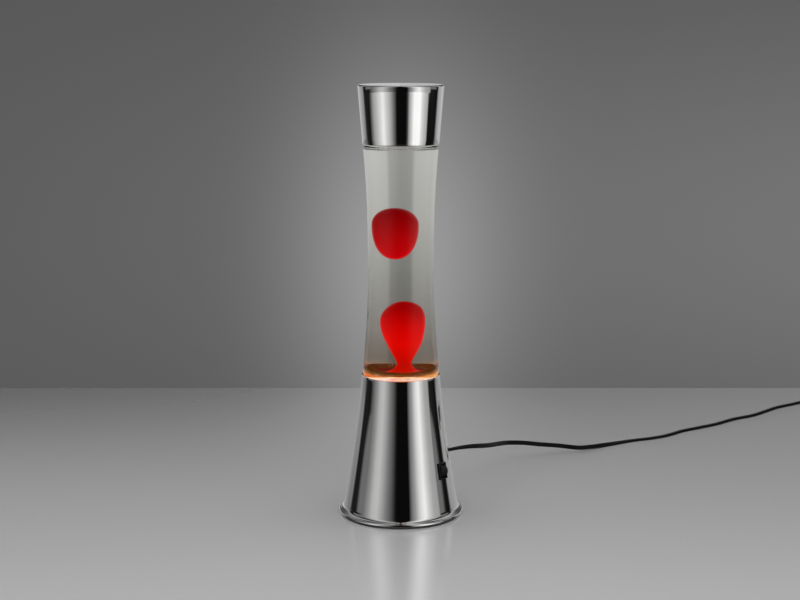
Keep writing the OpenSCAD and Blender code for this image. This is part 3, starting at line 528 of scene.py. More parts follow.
def coilTie():
    low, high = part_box("cord_tie")
    cx, cy = lead["coilCentre"]
    turn = math.radians(215)
    out = Vector((math.cos(turn), math.sin(turn), 0))
    side = Vector((-out.y, out.x, 0))
    half, top = 9.45, 5.55
    loop = [(-half, 0.2), (half, 0.2), (half + 0.25, 0.6), (half + 0.25, top - 0.4), (half, top),
            (-half, top), (-half - 0.25, top - 0.4), (-half - 0.25, 0.6)]
    bm = bmesh.new()
    rows = []
    for across in (-1.9, 1.9):
        rows.append([bm.verts.new((Vector((cx, cy, 0)) + out * (26 + r) + side * across
                                   + Vector((0, 0, z))) * mm) for r, z in loop])
    for i in range(len(loop)):
        k = (i + 1) % len(loop)
        bm.faces.new((rows[0][i], rows[0][k], rows[1][k], rows[1][i]))
    bmesh.ops.recalc_face_normals(bm, faces=bm.faces)
    bmesh.ops.solidify(bm, geom=bm.faces[:], thickness=0.25 * mm)
    tails = []
    for sign in (1, -1):
        tailCurve = bmesh.new()
        bmesh.ops.create_cone(tailCurve, cap_ends=True, segments=8, radius1=0.7 * mm, radius2=0.55 * mm,
                              depth=14 * mm)
        bmesh.ops.rotate(tailCurve, verts=tailCurve.verts, cent=(0, 0, 0),
                         matrix=Matrix.Rotation(math.radians(62), 3, "Y"))
        bmesh.ops.rotate(tailCurve, verts=tailCurve.verts, cent=(0, 0, 0),
                         matrix=Matrix.Rotation(turn + sign * 0.35 + 0.5, 3, "Z"))
        bmesh.ops.translate(tailCurve, verts=tailCurve.verts,
                            vec=(Vector((cx, cy, 8.6)) + out * 29 + side * sign * 1.2) * mm)
        tails.append(tailCurve)
    return joinMeshes([bm] + tails)


tie = makePiece("coil_tie", coilTie(), "base", [finishes["black_plastic"]], ("cord_tie",))
print("plug, grommet and tie made")


# base shell: spun cone with a rolled bead, opened for the switch and the lead

def openSheet(bm, out, height, half):
    # cuts the sheet along the four edges of an opening and takes the middle away
    side, up = Vector((-out.y, out.x, 0)), Vector((0, 0, 1))
    middle = out * coneRadius(height) + up * height

    def inside(face, spare):
        at = face.calc_center_median() / mm - middle
        return abs(at.dot(out)) < 20 and abs(at.dot(side)) < half[0] + spare and abs(at.z) < half[1] + spare

    for way, reach in ((side, half[0]), (side, -half[0]), (up, half[1]), (up, -half[1])):
        near = [f for f in bm.faces if inside(f, 4)]
        geom = near + list({e for f in near for e in f.edges}) + list({v for f in near for v in f.verts})
        bmesh.ops.bisect_plane(bm, geom=geom, dist=1e-7, plane_co=(middle + way * reach) * mm, plane_no=way)
    bmesh.ops.delete(bm, geom=[f for f in bm.faces if inside(f, 0)], context="FACES")


def baseShell():
    bead, cove, foot = base["beadRadius"], base["coveRadius"], base["footRadius"]
    coneFoot = foot - base["flangeWidth"]
    outline = [(foot - base["beadInset"], base["footGap"])]
    outline += arcPoints((foot - bead, base["footGap"] + bead), bead, -90, 90, 14)
    outline += arcPoints((coneFoot + cove, base["footZ"]), cove, 250, 180, 10)
    outline += [(coneRadius(z), z) for z in steps(base["footZ"] + 1, base["rimZ"] - 0.5, 70)]
    rim = coneRadius(base["rimZ"])
    outline += [(rim - 0.12, base["rimZ"] - 0.12), (rim - 0.4, base["rimZ"])]
    bm = spinOutline(outline, 192)
    faceOutwards(bm, (0, 0, 0.05))
    turn = math.radians(switch["angle"])
    openSheet(bm, Vector((math.cos(turn), -math.sin(turn), 0)), switch["z"], switch["hole"])
    openSheet(bm, exitOut, lead["exitZ"], (3.5, 3.5))
    bmesh.ops.solidify(bm, geom=bm.faces[:], thickness=base["wall"] * mm)
    return bm


switch = {"angle": 35.5, "z": 46, "hole": (4.3, 6.8)}
shell = makePiece("chromed_base_shell", baseShell(), "base", [chrome], ("base_shell",))


# cap: spun drum that widens upwards, closed by a flat top with a rounded edge

def topCap():
    low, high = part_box("top_cap")
    lower, upper, edge = 34.6, high.x / mm, 1.6
    bottomZ, topZ = low.z / mm, high.z / mm
    outline = [(lower - 0.5, bottomZ), (lower - 0.12, bottomZ + 0.1), (lower, bottomZ + 0.5)]
    outline += [(lower + (upper - lower) * t, bottomZ + 0.5 + (topZ - edge - bottomZ - 0.5) * t)
                for t in steps(0.1, 0.9, 8)]
    outline += arcPoints((upper - edge, topZ - edge), edge, 0, 90, 10)
    outline += [(upper - edge - 6, topZ), (upper / 2, topZ), (0, topZ)]
    bm = spinOutline(outline, 192)
    faceOutwards(bm, (0, 0, 0.36))
    bmesh.ops.solidify(bm, geom=bm.faces[:], thickness=0.8 * mm)
    return bm


cap = makePiece("chromed_top_cap", topCap(), "cap", [chrome], ("top_cap",))
print("chrome shells spun")


# bottle, liquid and wax

bottle = {
    "waist": 29.8, "topRadius": 34.36, "mostRadius": 34.8, "wall": 2.6, "floor": 6.1, "sunk": 3.8,
    "waistAboveRim": 101, "highPower": 2.4, "shoulderDrop": 2.1, "shoulderRadius": 4, "heel": 3.4,
    "inner": 4, "punt": 1.2, "neck": 13, "neckWall": 2.6, "neckRise": 12,
}
glassLow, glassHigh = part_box("bottle_glass")
bottleZ = base["rimZ"] - bottle["sunk"]
floorZ = bottleZ + bottle["floor"]
waistZ = base["rimZ"] + bottle["waistAboveRim"]
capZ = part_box("top_cap")[0].z / mm
shoulderZ = capZ - bottle["shoulderDrop"]
neckTop = glassHigh.z / mm
lowFlare = bottle["mostRadius"] + 1.1 - bottle["waist"]
highFlare = (bottle["topRadius"] - bottle["waist"]) / ((shoulderZ - waistZ) / 100) ** bottle["highPower"]


def glassRadius(z):
    if z < waistZ:
        r = bottle["waist"] + lowFlare * ((waistZ - z) / 100) ** 2
    else:
        r = bottle["waist"] + highFlare * ((z - waistZ) / 100) ** bottle["highPower"]
    return min(r, bottle["mostRadius"] - 0.25 * (max(0, base["rimZ"] + 5 - z) / 5) ** 2)


def glassOutside():
    heel, neck = bottle["heel"], bottle["neck"]
    out = [(0, bottleZ + bottle["punt"]), (12, bottleZ + bottle["punt"] - 0.15), (22, bottleZ + bottle["punt"] - 0.5),
           (26.4, bottleZ + 0.1), (27.5, bottleZ)]
    out += arcPoints((glassRadius(bottleZ + heel) - heel, bottleZ + heel), heel, -90, 0, 10)
    out += [(glassRadius(z), z) for z in steps(bottleZ + heel + 1, shoulderZ - 1, 80)]
    out += arcPoints((glassRadius(shoulderZ) - bottle["shoulderRadius"], shoulderZ), bottle["shoulderRadius"],
                     0, 75, 10)
    out += bezierPoints((neck + 11, shoulderZ + 5.4), (neck + 3, shoulderZ + 7), (neck, shoulderZ + 8),
                        (neck, shoulderZ + bottle["neckRise"]), 12)
    return out + [(neck, neckTop - 0.4), (neck - 0.4, neckTop)]


def glassInside(top, gap):
    inner, wall = bottle["inner"], bottle["wall"]
    bore = bottle["neck"] - bottle["neckWall"]
    out = [(0, floorZ + gap), (14, floorZ + gap)]
    out += arcPoints((glassRadius(floorZ) - wall - inner, floorZ + inner), inner - gap, -90, 0, 10)
    out += [(glassRadius(z) - wall - gap, z) for z in steps(floorZ + inner + 1, shoulderZ - 4, 76)]
    out += arcPoints((glassRadius(shoulderZ) - wall - 3, shoulderZ - 3), 3 - gap, 0, 75, 8)
    out += bezierPoints((bottle["neck"] + 8, shoulderZ + 2.4), (bottle["neck"] + 1, shoulderZ + 4),
                        (bore - gap, shoulderZ + 6), (bore - gap, shoulderZ + bottle["neckRise"]), 12)
    return out + [(bore - gap, top)]


def glassMaterial(name, ior, glow):
    # soda-lime glass; the wetted inside has the ratio of glass to liquid
    # painted glow: emission in gold streaks round the thick heel, dying away up the wall, stands in for the lamp's
    # light from below
    material, tree, shader = newMaterial(name, {
        "Transmission Weight": 1.0, "IOR": ior, "Base Color": hexColor("#fefefc"), "Roughness": 0.0,
        "Specular Tint": (0.14, 0.14, 0.14, 1), "Emission Strength": glow})
    place = addNode(tree, "ShaderNodeTexCoord")
    ripple = addNode(tree, "ShaderNodeTexNoise", {"Scale": 1 / (18 * mm), "Detail": 1.0},
                     {"Vector": place.outputs["Object"]})
    bump = addNode(tree, "ShaderNodeBump", {"Strength": 0.03, "Distance": 1.0 * mm},
                   {"Height": ripple.outputs["Fac"]})
    parts = addNode(tree, "ShaderNodeSeparateXYZ", {}, {"Vector": place.outputs["Object"]})
    # painted glow: strongest at the floor of the bottle and gone about 15 mm up
    height = addNode(tree, "ShaderNodeMapRange", {1: floorZ * mm, 2: (floorZ + 60) * mm, 3: 0.0, 4: 1.0},
                     {"Value": parts.outputs["Z"]})
    fade = addNode(tree, "ShaderNodeValToRGB", {}, {"Fac": height.outputs[0]})
    stops = fade.color_ramp.elements
    for at, level in ((0.013, 0.9), (0.045, 0.45), (0.08, 0.03), (0.25, 0.005)):
        stops.new(at).color = (level, level, level, 1)
    stops[0].color = (1, 1, 1, 1)
    stops[-1].color = (0, 0, 0, 1)
    long = addNode(tree, "ShaderNodeMapping", {"Scale": (1, 1, 4)}, {"Vector": place.outputs["Object"]})
    streaks = addNode(tree, "ShaderNodeTexNoise", {"Scale": 1 / (6 * mm), "Detail": 3.0, "Roughness": 0.7},
                      {"Vector": long.outputs[0]})
    gold = addNode(tree, "ShaderNodeValToRGB", {}, {"Fac": streaks.outputs["Fac"]})
    tones = gold.color_ramp.elements
    tones[0].position, tones[0].color = 0.38, hexColor("#b8601c")
    tones[1].position, tones[1].color = 0.64, hexColor("#ffe2a4")
    tones.new(0.52).color = hexColor("#f0903a")
    # painted light: where the wax stands above the heel's front and back, patches of the painted glow turn red
    offset = addNode(tree, "ShaderNodeMath", {"operation": "MULTIPLY_ADD", 1: 1 / (11 * mm), 2: 0.35},
                     {0: parts.outputs["X"]})
    square = addNode(tree, "ShaderNodeMath", {"operation": "MULTIPLY"}, {0: offset.outputs[0], 1: offset.outputs[0]})
    bell = addNode(tree, "ShaderNodeMath", {"operation": "POWER", 0: 1 / math.e}, {1: square.outputs[0]})
    patches = addNode(tree, "ShaderNodeMapRange", {1: 0.4, 2: 0.47, 3: 1.0, 4: 0.0},
                      {"Value": streaks.outputs["Fac"]})
    red = addNode(tree, "ShaderNodeMath", {"operation": "MULTIPLY"}, {0: bell.outputs[0], 1: patches.outputs[0]})
    warm = addNode(tree, "ShaderNodeMix", {"data_type": "RGBA", 7: hexColor("#ff2400")},
                   {0: red.outputs[0], 6: gold.outputs["Color"]})
    lit = addNode(tree, "ShaderNodeMix", {"data_type": "RGBA", "blend_type": "MULTIPLY", 0: 1.0},
                  {6: warm.outputs[2], 7: fade.outputs["Color"]})
    tree.links.new(lit.outputs[2], shader.inputs["Emission Color"])
    tree.links.new(bump.outputs["Normal"], shader.inputs["Normal"])
    return material


def bottleGlass():
    inside = glassInside(neckTop, 0)
    bm = spinOutline(glassOutside() + list(reversed(inside)), 160)
    for face in bm.faces:
        at = face.calc_center_median() / mm
        r = at.xy.length
        wall = r < glassRadius(min(at.z, shoulderZ)) - 1.3 and at.z > floorZ - 1.5
        face.material_index = 1 if wall and at.z < shoulderZ + bottle["neckRise"] + 6 and (
            at.z < shoulderZ - 1 or r < 11.5 or face.normal.z < 0) else 0
    return bm


dryGlass = glassMaterial("soda lime glass", 1.5, 0.22)
wetGlass = glassMaterial("glass against liquid", 1.128, 0.05)
bottlePiece = makePiece("glass_bottle", bottleGlass(), "globe", [dryGlass, wetGlass],
                        ("bottle_glass",), sharp=50)


def liquidMaterial():
    # clear liquid, tinted duller and warmer towards the hot end at the bottom
    material, tree, shader = newMaterial("clear liquid", {
        "Transmission Weight": 1.0, "IOR": 1.0, "Roughness": 0.0, "Specular IOR Level": 0.0})
    place = addNode(tree, "ShaderNodeTexCoord")
    parts = addNode(tree, "ShaderNodeSeparateXYZ", {}, {"Vector": place.outputs["Object"]})
    haze = addNode(tree, "ShaderNodeTexNoise", {"Scale": 1 / (30 * mm)}, {"Vector": place.outputs["Object"]})
    height = addNode(tree, "ShaderNodeMapRange", {1: floorZ * mm, 2: liquidTop * mm, 3: 0.0, 4: 1.0},
                     {"Value": parts.outputs["Z"]})
    level = addNode(tree, "ShaderNodeMath", {"operation": "MULTIPLY_ADD", 1: 0.06}, {0: haze.outputs["Fac"],
                                                                                     2: height.outputs[0]})
    tone = addNode(tree, "ShaderNodeValToRGB", {}, {"Fac": level.outputs[0]})
    stops = tone.color_ramp.elements
    stops[0].position, stops[0].color = 0.03, hexColor("#9c8f82")
    stops[1].position, stops[1].color = 0.92, hexColor("#ffffff")
    for at, code in ((0.12, "#a19890"), (0.24, "#b6b3ae"), (0.38, "#cac9c5"), (0.66, "#eeeeeb")):
        stops.new(at).color = hexColor(code)
    tree.links.new(tone.outputs["Color"], shader.inputs["Base Color"])
    return material


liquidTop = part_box("liquid")[1].z / mm
liquidMesh = spinOutline(glassInside(liquidTop, 0.08) + [(0, liquidTop)], 120)
liquid = makePiece("clear_liquid", liquidMesh, "globe", [liquidMaterial()], ("liquid",), sharp=50)


def waxMaterial(name, glow):
    # paraffin dyed red, with a soft sheen; painted glow: emission, brighter low down, stands in for the lamp's light
    # inside it
    material, tree, shader = newMaterial(name, {
        "IOR": 1.12, "Roughness": 0.3, "Subsurface Weight": 0.35, "Subsurface Scale": 0.01,
        "Subsurface Radius": (1.0, 0.15, 0.08), "Emission Strength": glow["strength"]})
    place = addNode(tree, "ShaderNodeTexCoord")
    parts = addNode(tree, "ShaderNodeSeparateXYZ", {}, {"Vector": place.outputs["Object"]})
    cloud = addNode(tree, "ShaderNodeTexNoise", {"Scale": 1 / (9 * mm), "Detail": 2.0},
                    {"Vector": place.outputs["Object"]})
    height = addNode(tree, "ShaderNodeMapRange", {1: glow["low"] * mm, 2: glow["high"] * mm, 3: 0.0, 4: 1.0},
                     {"Value": parts.outputs["Z"]})
    shift = addNode(tree, "ShaderNodeMath", {"operation": "MULTIPLY_ADD", 1: 0.16, 2: -0.08},
                    {0: cloud.outputs["Fac"]})
    level = addNode(tree, "ShaderNodeMath", {"operation": "ADD", "use_clamp": True},
                    {0: height.outputs[0], 1: shift.outputs[0]})
    lit = addNode(tree, "ShaderNodeValToRGB", {}, {"Fac": level.outputs[0]})
    stops = lit.color_ramp.elements
    for place01, code in glow["stops"][1:-1]:
        stops.new(place01).color = hexColor(code)
    stops[0].color = hexColor(glow["stops"][0][1])
    stops[-1].color = hexColor(glow["stops"][-1][1])
    tree.links.new(lit.outputs["Color"], shader.inputs["Emission Color"])
    body = addNode(tree, "ShaderNodeMix", {"data_type": "RGBA", 6: hexColor("#700002"), 7: hexColor("#860103")},
                   {0: cloud.outputs["Fac"]})
    tree.links.new(body.outputs[2], shader.inputs["Base Color"])
    return material


wax = {"columnX": 2.2, "ballX": -4, "film": 19.7, "foot": 10.2, "neck": 4.9, "blob": 15.5, "blobZ": 46.4, "top": 66.1,
       "ball": 16.1, "ballLow": 104.8, "ballWide": 135.4, "ballTop": 151.8}


def waxColumn():
    # the foot of the blob stands in a thin dark film that the coil lies in
    z, film, foot, neck, blob = floorZ + 0.02, wax["film"], wax["foot"], wax["neck"], wax["blob"]
    blobZ, top = floorZ + wax["blobZ"], floorZ + wax["top"]
    outline = [(0, z), (film - 0.2, z), (film, z + 0.2), (film - 0.2, z + 0.5), (foot + 2, z + 0.6)]
    outline += bezierPoints((foot + 0.6, z + 0.7), (foot - 1.5, z + 1.2), (neck + 0.6, z + 4.5), (neck, z + 7.6), 14)
    outline += bezierPoints((neck, z + 7.9), (neck + 0.3, z + 12.5), (blob, z + 27.5), (blob, blobZ), 26)
    outline += bezierPoints((blob, blobZ + 0.3), (blob, blobZ + 11), (9, top), (0, top), 18)
    bm = spinOutline(outline, 96)
    for face in bm.faces:
        if face.calc_center_median().xy.length > (foot + 1.5) * mm and face.calc_center_median().z < (z + 1) * mm:
            face.material_index = 1
    for v in bm.verts:  # the blob stands a little off the middle of its film
        inward = (film - v.co.xy.length / mm) / (film - foot - 2)
        v.co.x += wax["columnX"] * mm * max(0, min(1, inward))
    return bm


def waxBall():
    low, wide, top, r = (floorZ + wax["ballLow"], floorZ + wax["ballWide"], floorZ + wax["ballTop"], wax["ball"])
    outline = bezierPoints((0, low), (10.8, low), (r, low + 13.2), (r, wide), 24)
    outline += bezierPoints((r, wide + 0.3), (r, wide + 9), (9.5, top), (0, top), 20)
    bm = spinOutline(outline, 96)
    bmesh.ops.translate(bm, verts=bm.verts, vec=(wax["ballX"] * mm, 0, 0))
    return bm


# painted glow: these emission colours stand in for the lamp's light inside the wax, brighter low down and darker
# towards the top
columnPaintedGlow = {"low": floorZ, "high": floorZ + wax["top"],
              "stops": [(0, "#d01000"), (0.12, "#d00c00"), (0.24, "#e00a00"), (0.42, "#f20500"), (0.62, "#dc0200"),
                        (0.9, "#980001"), (1, "#8c0001")], "strength": 1.25}
ballPaintedGlow = {"low": floorZ + wax["ballLow"], "high": floorZ + wax["ballTop"],
            "stops": [(0, "#c20008"), (0.35, "#aa0003"), (0.7, "#840001"), (1, "#660002")], "strength": 1.05}
# painted glow of the thin film: a dim brown emission
filmPaintedGlow = {"low": floorZ, "high": floorZ + 2, "stops": [(0, "#2c0e04"), (0.5, "#4a1a08"), (1, "#5e2410")],
            "strength": 0.6}
column = makePiece("rising_wax", waxColumn(), "globe",
                   [waxMaterial("dyed paraffin pool with painted glow", columnPaintedGlow), waxMaterial("paraffin film with painted brown glow", filmPaintedGlow)],
                   ("wax_column",))
ball = makePiece("floating_wax", waxBall(), "wax_ball", [waxMaterial("dyed paraffin ball with painted glow", ballPaintedGlow)],
                 ("wax_ball",))
print("bottle filled")


# heating coil: a close spring of copper wire bent round into a ring

def springRing():
    # the loop works out a helix that runs round the ring
    ring, wire, turns = 22.0, 0.5, 84
    reach = 2.0 - wire
    curve = bpy.data.curves.new("spring", "CURVE")
    curve.dimensions = "3D"
    curve.bevel_depth = wire * mm
    curve.bevel_resolution = 2
    line = curve.splines.new("POLY")
    count = turns * 12
    line.points.add(count - 1)
    for i, p in enumerate(line.points):
        along = 2 * math.pi * i / count
        turn = turns * along
        r = ring + reach * math.cos(turn)
        p.co = (r * math.cos(along) * mm, r * math.sin(along) * mm,
                (floorZ + 2.02 + reach * math.sin(turn)) * mm, 1)
    line.use_cyclic_u = True
    o = bpy.data.objects.new("spring", curve)
    scene.collection.objects.link(o)
    bpy.context.view_layer.update()
    mesh = bpy.data.meshes.new_from_object(o.evaluated_get(bpy.context.evaluated_depsgraph_get()))
    bpy.data.objects.remove(o)
    bm = bmesh.new()
    bm.from_mesh(mesh)
    bmesh.ops.recalc_face_normals(bm, faces=bm.faces)
    return bm


def copperMaterial():
    # copper wire; painted glow: emission in spots stands in for the lamp's light from under it
    material, tree, shader = newMaterial("copper wire with painted glow", {"Metallic": 0.8, "Emission Strength": 0.5})
    place = addNode(tree, "ShaderNodeTexCoord")
    spots = addNode(tree, "ShaderNodeTexNoise", {"Scale": 1 / (3 * mm), "Detail": 2.0},
                    {"Vector": place.outputs["Object"]})
    tone = addNode(tree, "ShaderNodeMix", {"data_type": "RGBA", 6: hexColor("#4a2410"), 7: hexColor("#8a5022")},
                   {0: spots.outputs["Fac"]})
    glow = addNode(tree, "ShaderNodeMix", {"data_type": "RGBA", 6: hexColor("#2a1004"), 7: hexColor("#a0601c")},
                   {0: spots.outputs["Fac"]})
    rough = addNode(tree, "ShaderNodeMapRange", {3: 0.25, 4: 0.45}, {"Value": spots.outputs["Fac"]})
    tree.links.new(tone.outputs[2], shader.inputs["Base Color"])
    tree.links.new(glow.outputs[2], shader.inputs["Emission Color"])
    tree.links.new(rough.outputs[0], shader.inputs["Roughness"])
    return material


spring = makePiece("heating_spring", springRing(), "globe", [copperMaterial()], ("heating_coil",), sharp=60)


# crown cap on the neck: pressed steel with a crimped skirt

def crownCap():
    low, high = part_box("crown_cap")
    outer, top, bottom = high.x / mm, high.z / mm, low.z / mm
    outline = [(0, top), (outer - 2.6, top), (outer - 1.2, top - 0.25), (outer - 0.7, top - 0.8)]
    outline += [(outer - 0.55, z) for z in steps(top - 1.6, bottom + 2.2, 4)]
    outline += [(outer - 0.4, bottom + 1.2), (outer - 0.3, bottom)]
    bm = spinOutline(outline, 210)
    faceOutwards(bm, (0, 0, (bottom + 2) * mm))
    for v in bm.verts:  # 21 crimps, deeper towards the lower edge
        depth = max(0, (top - 0.8 - v.co.z / mm) / (top - bottom)) * 0.3
        turn = math.atan2(v.co.y, v.co.x)
        r = v.co.xy.length
        if r > 1e-4:
            scale = 1 + depth * mm * math.cos(21 * turn) / r
            v.co.x *= scale
            v.co.y *= scale
    bmesh.ops.solidify(bm, geom=bm.faces[:], thickness=0.25 * mm)
    return bm


crown = makePiece("crown_seal", crownCap(), "globe", [finishes["zinc_steel"]], ("crown_cap",))


# bulb: aluminised reflector with a frosted face, on a screw cap

def bulbGlass():
    low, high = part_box("bulb_glass")
    r, neckR, neck, top = high.x / mm, 9, low.z / mm, high.z / mm
    bowl = top - 14
    outside = [(neckR - 1.6, neck), (neckR - 0.5, neck + 1.2), (neckR, neck + 2)]
    outside += bezierPoints((neckR, neck + 6), (neckR + 1, neck + 15), (r, bowl - 12), (r, bowl), 24)
    outside += bezierPoints((r, bowl + 4), (r, bowl + 9), (r - 6, top), (0, top), 24)
    bm = spinOutline(outside, 96)
    faceOutwards(bm, (0, 0, bowl * mm))
    bmesh.ops.solidify(bm, geom=bm.faces[:], thickness=0.6 * mm)
    return bm


def bulbMaterial():
    # aluminised glass below the shoulder, etched white above it, where the light comes out
    material, tree, shader = newMaterial("etched reflector bulb", {"Emission Strength": 2.2})
    place = addNode(tree, "ShaderNodeTexCoord")
    parts = addNode(tree, "ShaderNodeSeparateXYZ", {}, {"Vector": place.outputs["Object"]})
    edge = (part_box("bulb_glass")[1].z / mm - 14) * mm
    face = addNode(tree, "ShaderNodeMapRange", {1: edge, 2: edge + 1.5 * mm, 3: 0.0, 4: 1.0},
                   {"Value": parts.outputs["Z"]})
    etch = addNode(tree, "ShaderNodeTexNoise", {"Scale": 1 / (0.6 * mm), "Detail": 3.0},
                   {"Vector": place.outputs["Object"]})
    tone = addNode(tree, "ShaderNodeMix", {"data_type": "RGBA", 6: hexColor("#b9bcbf"), 7: hexColor("#ece6da")},
                   {0: face.outputs[0]})
    glow = addNode(tree, "ShaderNodeMix", {"data_type": "RGBA", 6: hexColor("#000000"), 7: hexColor("#ffd9a0")},
                   {0: face.outputs[0]})
    metal = addNode(tree, "ShaderNodeMath", {"operation": "SUBTRACT", 0: 1.0}, {1: face.outputs[0]})
    rough = addNode(tree, "ShaderNodeMapRange", {1: 0.3, 2: 0.7, 3: 0.16, 4: 0.36}, {"Value": etch.outputs["Fac"]})
    tree.links.new(tone.outputs[2], shader.inputs["Base Color"])
    tree.links.new(glow.outputs[2], shader.inputs["Emission Color"])
    tree.links.new(metal.outputs[0], shader.inputs["Metallic"])
    tree.links.new(rough.outputs[0], shader.inputs["Roughness"])
    return material


bulb = makePiece("reflector_bulb", bulbGlass(), "bulb", [bulbMaterial()], ("bulb_glass",))
print("bulb made")


# softened copies of the switch's boxy plastic pieces, which keep their size

def softened(node, width, sharpFrom=30):
    bm = bmesh.new()
    bm.from_mesh(frame["nodes"][node].data)
    bmesh.ops.remove_doubles(bm, verts=bm.verts, dist=1e-6)
    bmesh.ops.dissolve_limit(bm, angle_limit=math.radians(1.5), verts=bm.verts, edges=bm.edges)
    edges = [e for e in bm.edges if len(e.link_faces) == 2
             and e.calc_face_angle(0) > math.radians(sharpFrom)]
    bmesh.ops.bevel(bm, geom=edges, offset=width * mm, segments=2, profile=0.5, affect="EDGES",
                    clamp_overlap=True, material=-1)
    bmesh.ops.recalc_face_normals(bm, faces=bm.faces)
    return bm


for node, width, body, slotName in (("switch_body", 0.35, "base", "black_plastic"),
                                    ("switch_rocker", 0.3, "rocker", "black_plastic")):
    makePiece("soft_" + node, softened(node, width), body, [finishes[slotName]], (node,))
print("switch made")


# stage: a pale satin table and a grey studio

table = {"far": 502, "side": 3200, "near": 3200}


def tableMaterial():
    # satin laminate; painted light: paler near the front, and a painted pool of light behind the lamp
    material, tree, shader = newMaterial("satin laminate with painted light", {"Roughness": 0.19, "IOR": 1.75, "Metallic": 0.42})
    place = addNode(tree, "ShaderNodeTexCoord")
    parts = addNode(tree, "ShaderNodeSeparateXYZ", {}, {"Vector": place.outputs["Object"]})
    # painted light: paler towards the front; a painted pool of light behind the lamp, leaning brighter to the right
    side = addNode(tree, "ShaderNodeMapRange", {1: -0.25, 2: 0.5, 3: 0.66, 4: 0.3}, {"Value": parts.outputs["Y"]})
    back = addNode(tree, "ShaderNodeMapRange", {1: 0.0, 2: 0.5, 3: 0.0, 4: 1.0, "interpolation_type": "SMOOTHSTEP"},
                   {"Value": parts.outputs["Y"]})
    across = addNode(tree, "ShaderNodeMath", {"operation": "DIVIDE", 1: 0.12}, {0: parts.outputs["X"]})
    square = addNode(tree, "ShaderNodeMath", {"operation": "MULTIPLY"}, {0: across.outputs[0], 1: across.outputs[0]})
    bell = addNode(tree, "ShaderNodeMath", {"operation": "POWER", 0: 1 / math.e}, {1: square.outputs[0]})
    lean = addNode(tree, "ShaderNodeMath", {"operation": "MULTIPLY", 1: 0.15}, {0: parts.outputs["X"]})
    pool = addNode(tree, "ShaderNodeMath", {"operation": "MULTIPLY_ADD", 1: 0.24}, {0: bell.outputs[0],
                                                                                    2: lean.outputs[0]})
    grain = addNode(tree, "ShaderNodeTexNoise", {"Scale": 1 / (3 * mm), "Detail": 2.0},
                    {"Vector": place.outputs["Object"]})
    fine = addNode(tree, "ShaderNodeMath", {"operation": "MULTIPLY_ADD", 1: 0.03}, {0: grain.outputs["Fac"],
                                                                                    2: side.outputs[0]})
    total = addNode(tree, "ShaderNodeMath", {"operation": "MULTIPLY_ADD"}, {0: pool.outputs[0], 1: back.outputs[0],
                                                                            2: fine.outputs[0]})
    tone = addNode(tree, "ShaderNodeCombineColor", {}, {i: total.outputs[0] for i in range(3)})
    tree.links.new(tone.outputs["Color"], shader.inputs["Base Color"])
    return material


floorMesh = bmesh.new()
bmesh.ops.create_grid(floorMesh, x_segments=1, y_segments=1, size=1)
for v in floorMesh.verts:
    v.co = (v.co.x * table["side"] * mm, (table["far"] if v.co.y > 0 else -table["near"]) * mm, 0)
floorData = bpy.data.meshes.new("table_top")
floorMesh.to_mesh(floorData)
floorMesh.free()
floorData.materials.append(tableMaterial())
floor = bpy.data.objects.new("table_top", floorData)
scene.collection.objects.link(floor)
floor.visible_glossy = False      # the chrome shows the studio's soft boxes down to the table's edge
floor.visible_transmission = False   # and the bottle bends only the sweep behind it

# soft boxes and black flags by azimuth, 0 towards the front and positive to the right: their level at the
# height that the cone mirrors, and lower down, where the cap looks
highBands = [
    (-180, 0.36), (-160, 0.37), (-150, 0.34), (-140, 0.28), (-130, 0.22), (-121, 0.12), (-114, 0.02), (-94, 0.01),
    (-88, 0.09), (-80, 0.21), (-70, 0.36), (-60, 0.6), (-50, 0.66), (-40, 0.47), (-30, 0.25), (-20, 0.11),
    (-13, 0.02), (-9, 0.004), (17, 0.004), (24, 0.25), (30, 0.41), (40, 0.88), (50, 1.16), (60, 0.75), (70, 0.49),
    (83, 0.42), (87, 0.02), (113, 0.006), (121, 0.2), (130, 0.38), (155, 0.43), (180, 0.36)]
lowBands = [
    (-180, 0.55), (-162, 0.6), (-142, 0.47), (-132, 0.38), (-123, 0.3), (-119, 0.01), (-98, 0.01), (-88, 0.25),
    (-82, 0.44), (-72, 0.61), (-61, 0.88), (-51, 1.16), (-41, 0.81), (-31, 0.55), (-20, 0.19), (-12, 0.005),
    (14, 0.004), (19, 0.06), (24, 0.5), (31, 0.85), (37, 1.3), (55, 1.35), (61, 0.93), (72, 0.61), (78, 0.55),
    (82, 0.01), (116, 0.006), (121, 0.42), (132, 0.51), (152, 0.64), (162, 0.45), (180, 0.5)]
# the sweep behind, as the bottle bends it
sweepBands = [(-180, 0.285), (-172, 0.3), (-169, 0.44), (-155, 0.49), (-130, 0.52), (0, 0.5), (130, 0.54),
              (155, 0.52), (169, 0.47), (171, 0.35), (174, 0.33), (180, 0.285)]


